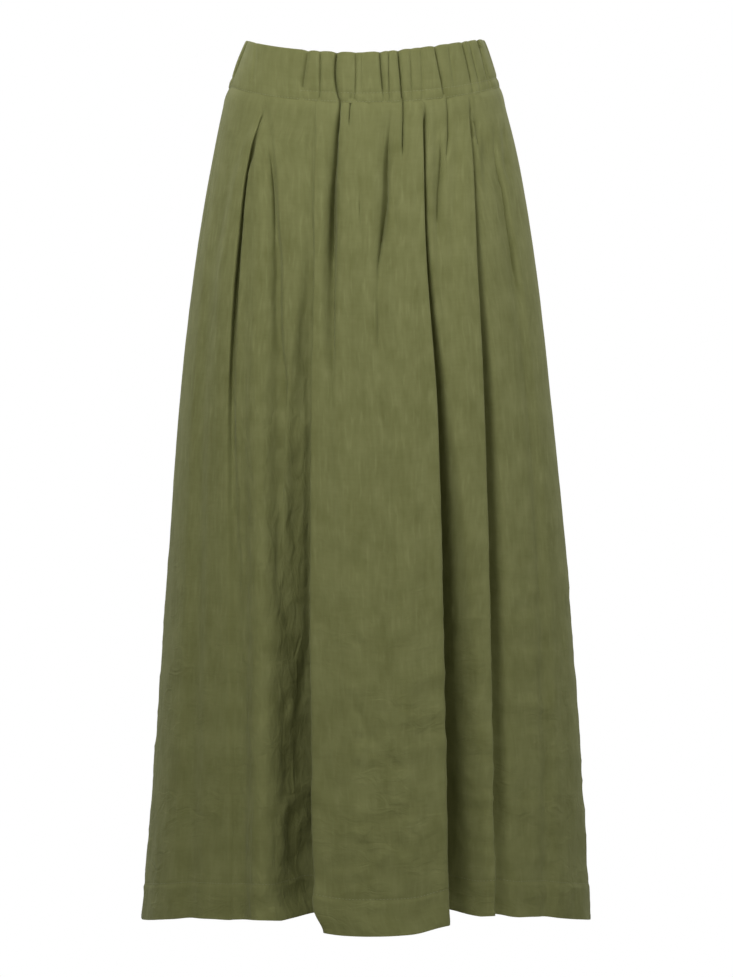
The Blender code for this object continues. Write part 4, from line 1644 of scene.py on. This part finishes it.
# Small notches of the stitched strip, seen from the front: across, depth and width
FRONT_CRIMPS = (
    (286, 0.5, 1.4), (313, 0.4, 1.2), (319.6, 0.9, 1.2), (324.2, 0.7, 1.1), (331, 0.4, 1.2),
    (347, 0.5, 1.2), (350.9, 3.0, 1.3), (368.2, 1.2, 1.2), (375, 0.4, 1.2), (386.6, 0.8, 1.0),
    (390.4, 0.9, 1.0), (394.2, 0.8, 1.0), (397, 0.6, 1.0), (408, 0.5, 1.2), (412, 0.7, 1.0),
    (416, 0.6, 1.0), (424.4, 0.9, 1.2), (447, 0.8, 1.4), (460, 0.4, 1.2), (467, 0.5, 1.2),
    (476, 0.6, 1.2), (486, 0.5, 1.2),
)


@dataclass
class Waistband(ClothPiece):
    """Half of the gathered casing over its elastic, with a stitched strip along the waist seam."""

    start: float
    end: float
    gathers: list[Gather]
    crimps: list[Triple]
    strip_shows: Rows = ((0, 1.0),)
    # Half of the gap between the waistband's halves
    end_gap: float = 0.1 * MM
    cloth: float = 1.9 * MM
    inner_relief: float = 0.6
    set_in: float = 0.7 * MM
    puff: float = 0.9 * MM
    puff_power: float = 0.7
    dome: float = 0.24
    dome_limit: float = 2.2 * MM
    # Depth of the gathers that are taken to lie at its ends, in millimetres
    end_depth: float = 0.6
    # How a gather sharpens to a cusp: the sharp part's share, and how fast both parts fall away
    cusp: Triple = (0.6, 1.6, 2.0)
    gather_rim: SetsIn = (0.55, 0.0, 0.16)
    strip_above: float = 0.1
    strip_spread: float = 0.1
    lumps: Pair = (160, 2.2)
    lump_height: float = 0.5 * MM
    # Where its rim and its foot thin out, by how much, and the least share of its thickness
    rim: float = 0.03
    foot: float = 0.975
    foot_thinned: float = 0.8
    thinnest: float = 0.12
    height: float = 50 * MM
    steps: tuple[float, ...] = (
        0, 0.04, 0.085, 0.135, 0.2, 0.28, 0.37, 0.46, 0.54, 0.63, 0.72, 0.8, 0.865, 0.915, 0.96,
    )
    rows: int = 34
    rim_rows: tuple[float, ...] = (0.0, 0.004, 0.014)
    row_apart: float = 0.009
    stitch_lines: Pair = (0.795, 0.965)
    stitch_pinch: float = 0.5 * MM
    lower_pinch: float = 0.5
    pinch_spread: float = 0.03
    stitched_from: float = 0.3
    strip_rise: float = 0.3 * MM
    scallop: float = 0.28
    scallop_spread: float = 0.03
    seed: int = 40

    def __post_init__(self) -> None:
        """Move both ends in by their gap."""
        gap = self.end_gap / self.figure.waist_half_depth
        self.start, self.end = self.start + gap, self.end - gap

    def shares(self) -> Array:
        """The rows, as shares of the way from the top edge to the waist seam.

        Returns:
            The shares, with the lines of stitches among them.
        """
        even = np.linspace(self.rim, 1, self.rows)
        lines = np.array(self.stitch_lines)
        even = even[np.min(np.abs(even[:, None] - lines), axis=1) > self.row_apart]
        return np.sort(np.concatenate([self.rim_rows, even, lines]))

    def row_angles(self, share: float) -> Array:
        """The columns' angles at a share of the way down, closest together at the gathers.

        Args:
            share: share of the way down the band.

        Returns:
            The angles.
        """
        marks = [self.start, *(gather.at(share) for gather in self.gathers), self.end]
        angles = [a + (b - a) * np.array(self.steps) for a, b in zip(marks, marks[1:])]
        return np.concatenate([*angles, [self.end]])

    def through(self, gather: Gather, share: float) -> float:
        """How much of a gather's depth shows at a share of the way down.

        Args:
            gather: the gather.
            share: share of the way down the band.

        Returns:
            The part of its depth.
        """
        strip = self.stitch_lines[0]
        into_strip = float(smooth_step(share, strip - self.strip_above, strip))
        return (1 - (1 - gather.through) * into_strip) * float(set_in(share, *self.gather_rim))

    def gathered(self, angle: Array) -> Array:
        """How much the casing puffs out above the strip at an angle, from 0 to 1."""
        degrees, shares = np.array(self.strip_shows).T
        return np.interp(np.degrees(angle), degrees, shares)

    def offsets(self, share: float, angle: Array) -> Array:
        """How far the outer cloth stands out along one row.

        Args:
            share: share of the way down the band.
            angle: angles round the garment.

        Returns:
            The distances, in metres.
        """
        radius = 0.5 * (self.figure.waist_half_width + self.figure.waist_half_depth)
        marks = np.array([self.start, *(gather.at(share) for gather in self.gathers), self.end])
        depths = [gather.depth * self.through(gather, share) for gather in self.gathers]
        depths = np.array([self.end_depth, *depths, self.end_depth]) * MM
        place = np.clip(np.searchsorted(marks, angle, side="right") - 1, 0, len(marks) - 2)
        t = (angle - marks[place]) / (marks[place + 1] - marks[place])
        dome = self.dome * np.minimum(np.minimum(depths[place], depths[place + 1]), self.dome_limit)
        out = dome * np.sqrt(np.clip(np.sin(np.pi * t), 0, 1))
        sharp, fall, round_fall = self.cusp
        for gather in self.gathers:
            away = (angle - gather.at(share)) * radius / MM
            wide = np.where(away < 0, gather.left, gather.right)
            cusp = sharp * np.exp(-fall * np.abs(away) / wide)
            cusp = cusp + (1 - sharp) * np.exp(-round_fall * (away / wide) ** 2)
            out = out - gather.depth * MM * self.through(gather, share) * cusp
        strip = window(share - 0.5 * sum(self.stitch_lines), self.strip_spread)
        for at, depth, wide in self.crimps:
            away = (angle - at) * radius / MM
            out = out - depth * MM * strip * np.exp(-((away / wide) ** 2))
        casing = math.sin(math.pi * min(share / self.stitch_lines[0], 1)) ** self.puff_power
        gathered = self.gathered(angle)
        out = out + self.puff * casing * gathered + self.strip_rise * strip * gathered - self.set_in
        for line, strength in zip(self.stitch_lines, (gathered, self.lower_pinch)):
            out = out - self.stitch_pinch * strength * math.exp(-(((share - line) / self.pinch_spread) ** 2))
        wide, tall = self.lumps
        noise = cloth_noise(angle * radius * wide + 3, share * tall + 0 * angle, self.seed) - 0.5
        return out + self.lump_height * noise

    def shaped(self) -> ClothGrid:
        """The band's grid.

        Returns:
            The grid, thinner at its rim and foot.
        """
        shares = self.shares()
        middle, outer, inner = [], [], []
        for share in shares:
            angle = self.row_angles(share)
            scallop = 0 * angle
            for gather in self.gathers:
                near = np.exp(-(((angle - gather.at(share)) / self.scallop_spread) ** 2))
                scallop = scallop + self.scallop * gather.depth * MM * near
            z = self.figure.top_edge(angle) * (1 - share) + self.figure.waist_seam(angle) * share
            z = z - scallop * (1 - smooth_step(share, 0.0, 0.5))
            middle.append(self.figure.points(angle, z, 0 * angle, 0 * angle))
            rim = math.sqrt(1 - (1 - min(share / self.rim, 1)) ** 2)
            foot = math.sqrt(1 - self.foot_thinned * max((share - self.foot) / (1 - self.foot), 0) ** 2)
            edge = max(rim * foot, self.thinnest)
            relief = self.offsets(share, angle)
            outer.append(0.5 * self.cloth * edge + relief)
            inner.append(0.5 * self.cloth * edge - self.inner_relief * relief)
        down = shares[:, None] * self.height + np.zeros(len(middle[0]))
        return ClothGrid(np.array(middle), down, np.array(outer), np.array(inner), len(middle[0]) // 2)

    def stitch_runs(self) -> list[StitchRun]:
        """The two lines of stitches: the upper one only where the casing is gathered.

        Returns:
            The upper line and the lower one.
        """
        rows = [int(np.argmin(np.abs(self.shares() - line))) for line in self.stitch_lines]
        runs = [StitchRun.along_row(self.grid, row) for row in rows]
        shown = self.gathered(self.row_angles(self.stitch_lines[0])) > self.stitched_from
        return [StitchRun(runs[0].points[shown], runs[0].normals[shown]), runs[1]]


@dataclass
class PocketBag(ClothPiece):
    """A flat bag that hangs inside the front from its side seam, with a rounded lower edge."""

    front: FrontPanel
    end: int
    towards_front: int
    top: float = 20 * MM
    bottom: float = 236 * MM
    reach: float = 92 * MM
    cloth: float = 1.8 * MM
    straight: float = 0.4
    rounding: float = 0.85
    hang: float = 19 * MM
    columns: int = 44
    rows: int = 70
    wrinkle: float = 1.2 * MM
    wrinkle_lumps: Pair = (38, 26)
    wrinkled_from: Pair = (0.1, 0.5)
    seam_width: float = 9 * MM
    seam_thinned: float = 0.6
    seed: int = 50

    def row(self, share: float, lowered: float) -> Array:
        """The middle of the bag along one row, from the front's edge inwards.

        Args:
            share: share of the way down from the waist seam to the hem.
            lowered: share of the way down the bag.

        Returns:
            The row's points.
        """
        figure = self.figure
        angle, out, _ = (values[self.end] for values in self.front.section(share))
        radius = float(figure.half_depth(0.0, figure.seam - share * SKIRT_LENGTH))
        bent = max((lowered - self.straight) / (1 - self.straight), 0)
        reach = self.reach * math.sqrt(1 - self.rounding * bent**2)
        across = np.linspace(0, 1, self.columns + 1)
        angles = angle + self.towards_front * across * reach / radius
        clear = 0.5 * (self.front.cloth + self.cloth) + 3 * self.front.seam_gap
        outs = out - clear - self.hang * (1 - (1 - across) ** 2)
        angles, outs = angles[:: self.towards_front], outs[:: self.towards_front]
        points = figure.points(angles, figure.height(angles, share), outs, 0 * angles)
        points[:, 2] = figure.height(figure.angle_at(points), share)
        return points

    def shaped(self) -> ClothGrid:
        """The bag's grid, a little wrinkled.

        Returns:
            The grid.
        """
        lowered = np.linspace(0, 1, self.rows)
        depths = self.top + (self.bottom - self.top) * lowered
        middle = np.array([self.row(d / SKIRT_LENGTH, low) for d, low in zip(depths, lowered)])
        down = depths[:, None] + np.zeros(middle.shape[1])
        inwards = np.linspace(0, 1, self.columns + 1)[:: self.towards_front]
        seam = np.minimum(np.minimum(inwards + 0.5, 1 - inwards) * self.reach, self.bottom - down)
        half = 0.5 * self.cloth * set_in(seam, self.seam_thinned, 0, self.seam_width)
        grid = ClothGrid(middle, down, half, half, 0)
        wide, tall = self.wrinkle_lumps
        noise = cloth_noise(grid.across() * wide + 5, down * tall + 8, self.seed + self.end) - 0.5
        grid.push(self.wrinkle * noise * smooth_step(inwards + 0 * down, *self.wrinkled_from))
        return grid


@dataclass
class Stitching:
    """Lockstitches in sewing thread along lines on the cloth."""

    name: str
    length: float = 2.5 * MM
    gap: float = 0.8 * MM
    thickness: float = 0.5 * MM
    sunk: float = 0.16 * MM
    dive: float = 0.3 * MM
    taper: float = 0.45
    sides: int = 6
    rings: tuple[float, ...] = (0.0, 0.25, 0.75, 1.0)

    def tubes(self, run: StitchRun) -> Array:
        """The rings of every stitch along a line, as an array of stitches, rings, sides and xyz.

        Args:
            run: the line.

        Returns:
            The points of the rings.
        """
        steps = np.linalg.norm(np.diff(run.points, axis=0), axis=1)
        passed = np.concatenate([[0], np.cumsum(steps)])
        starts = np.arange(self.gap, passed[-1] - self.length, self.length + self.gap)
        places = starts[:, None] + self.length * np.array(self.rings)
        centre, normal = (read_along(places, passed, values) for values in (run.points, run.normals))
        forward = centre[:, -1:] - centre[:, :1]
        forward = forward / np.linalg.norm(forward, axis=2, keepdims=True)
        side = np.cross(normal, forward)
        side = side / np.linalg.norm(side, axis=2, keepdims=True)
        ends = (2 * np.array(self.rings) - 1) ** 2
        half = 0.5 * self.thickness * (1 - self.taper * ends)
        centre = centre + normal * (0.5 * self.thickness - self.sunk - self.dive * ends)[:, None]
        turn = np.arange(self.sides) * 2 * math.pi / self.sides
        ring = np.cos(turn)[:, None] * side[:, :, None] + np.sin(turn)[:, None] * normal[:, :, None]
        return centre[:, :, None] + half[:, None, None] * ring

    def build(self, runs: list[StitchRun]) -> Object:
        """Make all the stitches of a piece.

        Args:
            runs: the lines that they follow.

        Returns:
            The piece, in its finish.
        """
        tubes = np.concatenate([self.tubes(run) for run in runs])
        stitches, rings, sides = tubes.shape[:3]
        index = np.arange(stitches * rings * sides).reshape(stitches, rings, sides)
        a, b = index[:, :-1], index[:, 1:]
        a_next, b_next = np.roll(a, -1, axis=2), np.roll(b, -1, axis=2)
        walls = np.stack([a, b, b_next, a_next], axis=-1).reshape(-1, 4)
        caps = np.concatenate([index[:, 0], index[:, -1, ::-1]])
        mesh = bpy.data.meshes.new(self.name)
        mesh.from_pydata(tubes.reshape(-1, 3).tolist(), [], walls.tolist() + caps.tolist())
        mesh.shade_smooth()
        mesh.validate()
        piece = bpy.data.objects.new(self.name, mesh)
        bpy.context.scene.collection.objects.link(piece)
        THREAD.dress(piece)
        return piece


@dataclass(frozen=True)
class Softbox:
    """A square soft light: degrees round the skirt and above it, watts, and its size and place."""

    name: str
    turned: float
    raised: float
    power: float
    size: float = 0.6
    away: float = 1.5
    aim: float = -0.1
    tint: Colour = (1.0, 1.0, 1.0)

    def stand(self) -> None:
        """Set the light up, facing the skirt at the height of its aim."""
        lamp = bpy.data.lights.new(self.name, "AREA")
        lamp.shape, lamp.size, lamp.energy, lamp.color = "SQUARE", self.size, self.power, self.tint
        a, e = math.radians(self.turned), math.radians(self.raised)
        ray = Vector((math.sin(a) * math.cos(e), -math.cos(a) * math.cos(e), math.sin(e)))
        stand = bpy.data.objects.new(self.name, lamp)
        stand.location = Vector((0, 0, self.aim)) + self.away * ray
        stand.rotation_euler = (-ray).to_track_quat("-Z", "Y").to_euler()
        bpy.context.scene.collection.objects.link(stand)


@dataclass
class Studio:
    """White studio: floor, soft light from above and in front, and the camera."""

    eye: Viewpoint
    floor_height: float = -1.4
    floor_radius: float = 1.1
    floor_thickness: float = 0.02
    floor_sides: int = 96
    sensor: float = 24.0
    backdrop: float = 1.0
    around: float = 0.06
    around_tint: Colour = (1.0, 1.0, 0.85)
    lights: tuple[Softbox, ...] = (
        Softbox("key", -25, 20, 6.7),
        Softbox("right", 50, 20, 4.7),
        Softbox("far_right", 75, 20, 7.0),
        Softbox("upper_left", -50, 50, 5.5),
        Softbox("upper", -25, 50, 4.6),
        Softbox("left", -65, 15, 3.6, size=0.9, away=2.6, aim=-0.4, tint=(1.0, 0.98, 0.80)),
        Softbox("low", 8, 8, 5.3, size=0.9, away=2.6, aim=-0.7, tint=(1.0, 0.98, 0.78)),
        Softbox("behind_right", 150, 45, 30.0, size=0.9, away=2.6, aim=-0.4),
        Softbox("behind_left", -140, 40, 30.0, size=0.9, away=2.6, aim=-0.4),
    )

    def world(self) -> None:
        """White all round, brighter behind the skirt than the light that it gives."""
        world = bpy.data.worlds.new("white_studio")
        world.use_nodes = True
        desk = NodeDesk(world)
        seen = desk.add("ShaderNodeLightPath").outputs["Is Camera Ray"]
        strength = desk.add("ShaderNodeMix", {0: seen, 2: self.around, 3: self.backdrop}).outputs[0]
        tint = desk.mix(seen, self.around_tint, (1.0, 1.0, 1.0))
        desk.feed(world.node_tree.nodes["Background"], {"Color": tint, "Strength": strength})
        bpy.context.scene.world = world

    def build(self) -> None:
        """Set up the whole studio."""
        for chosen in bpy.context.selected_objects:
            chosen.select_set(False)
        thick = self.floor_thickness
        middle = (0, 0, self.floor_height - thick / 2)
        bpy.ops.mesh.primitive_cylinder_add(
            vertices=self.floor_sides, radius=self.floor_radius, depth=thick, location=middle
        )
        floor = bpy.context.active_object
        floor.name = "floor"
        bpy.ops.object.transform_apply(location=True, rotation=True, scale=True)
        FLOOR.dress(floor)
        self.world()
        for softbox in self.lights:
            softbox.stand()
        camera = bpy.data.cameras.new("camera")
        camera.sensor_fit, camera.sensor_height = "VERTICAL", self.sensor
        camera.lens = camera.sensor_height * self.eye.away / self.eye.frame_height
        stand = bpy.data.objects.new("camera", camera)
        stand.location = (self.eye.side, -self.eye.away, self.eye.height)
        stand.rotation_euler = (math.pi / 2, 0, 0)
        bpy.context.scene.collection.objects.link(stand)
        bpy.context.scene.camera = stand
        bpy.context.scene.view_settings.view_transform = "Standard"


def front_band(figure: Figure, linen: LinenFinish, eye: Viewpoint) -> Waistband:
    """Set out the waistband's front.

    Args:
        figure: the garment's form.
        linen: its finish.
        eye: where its gathers were placed from.

    Returns:
        The band, not built yet.
    """
    gathers = []
    for *places, depth, left, right, through in FRONT_GATHERS:
        at = [figure.angle_seen(x, z, eye) for x, z in zip(places, GATHER_HEIGHTS)]
        gathers.append(Gather(*at, depth, left, right, through))
    for i, (degrees, depth) in enumerate(SIDE_GATHERS):
        at, lean = math.radians(degrees), SIDE_LEAN[0] * math.sin(SIDE_LEAN[1] * i)
        gathers.append(Gather(at - lean, at, at + lean, depth, *SIDE_SHAPE))
    gathers.sort(key=lambda gather: gather.at(0.5))
    crimps = [(figure.angle_seen(x, CRIMP_HEIGHT, eye), depth, wide) for x, depth, wide in FRONT_CRIMPS]
    ends = figure.ends()
    return Waistband(figure, linen, "waistband_front_casing", *ends, gathers, crimps, FRONT_STRIP_SHOWS)


def back_band(figure: Figure, linen: LinenFinish) -> Waistband:
    """Set out the waistband's back.

    Args:
        figure: the garment's form.
        linen: its finish.

    Returns:
        The band, not built yet.
    """
    gathers, crimps = [], []
    for i, at in enumerate(back_gather_angles(figure)):
        by = {name: mean + swing * math.sin(step * i) for name, (mean, swing, step) in BACK_GATHERS.items()}
        places = (at - by["lean"], at + by["bow"], at + by["lean"])
        gathers.append(Gather(*places, by["depth"], *BACK_GATHER_WIDTHS, by["through"]))
        crimps.append((at + by["crimp_at"], by["crimp_depth"], BACK_CRIMP_WIDTH))
    return Waistband(figure, linen, "waistband_back_casing", *figure.ends(back=True), gathers, crimps)


def keep(piece: Object, *nodes: str) -> Object:
    """Make a piece ride on the skirt's one body, in place of its CAD nodes.

    Args:
        piece: the piece.
        *nodes: the CAD nodes that it replaces.

    Returns:
        The same piece.
    """
    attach(piece, "root")
    if nodes:
        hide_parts(*nodes)
    LOG.info("%s: %d points, %d faces", piece.name, len(piece.data.vertices), len(piece.data.polygons))
    return piece


def main() -> None:
    """Build the studio and the skirt's pieces and stitches."""
    eye, figure, linen = Viewpoint(), Figure(), LinenFinish()
    Studio(eye).build()

    front = FrontPanel(figure, linen)
    back = BackPanel(figure, linen, crumpling=Crumpling(seed=77))
    front_piece = keep(front.build(), "skirt_front")
    back_piece = keep(back.build(), "skirt_back")
    bands = (front_band(figure, linen, eye), back_band(figure, linen))
    band_pieces = [keep(band.build(), f"waistband_{side}") for band, side in zip(bands, ("front", "back"))]
    for side, end, towards_front in (("left", 0, 1), ("right", -1, -1)):
        bag = PocketBag(figure, linen, f"pocket_bag_{side}", front, end, towards_front)
        keep(bag.build(), f"pocket_{side}")

    mouth = (front.mouth_stitched, front.mouth_top, front.mouth_top + front.mouth_length)
    sewing = {
        "hem_stitches_front": [StitchRun.along_row(front.grid, front.hem_row())],
        "hem_stitches_back": [StitchRun.along_row(back.grid, back.hem_row())],
        "waist_stitches_front": bands[0].stitch_runs(),
        "waist_stitches_back": bands[1].stitch_runs(),
        "pocket_stitches_left": [StitchRun.beside_edge(front.grid, 0, *mouth)],
        "pocket_stitches_right": [StitchRun.beside_edge(front.grid, -1, *mouth)],
    }
    hem_front, hem_back, waist_front, waist_back, *mouths = [
        keep(Stitching(name).build(runs)) for name, runs in sewing.items()
    ]


if __name__ == "__main__":
    main()
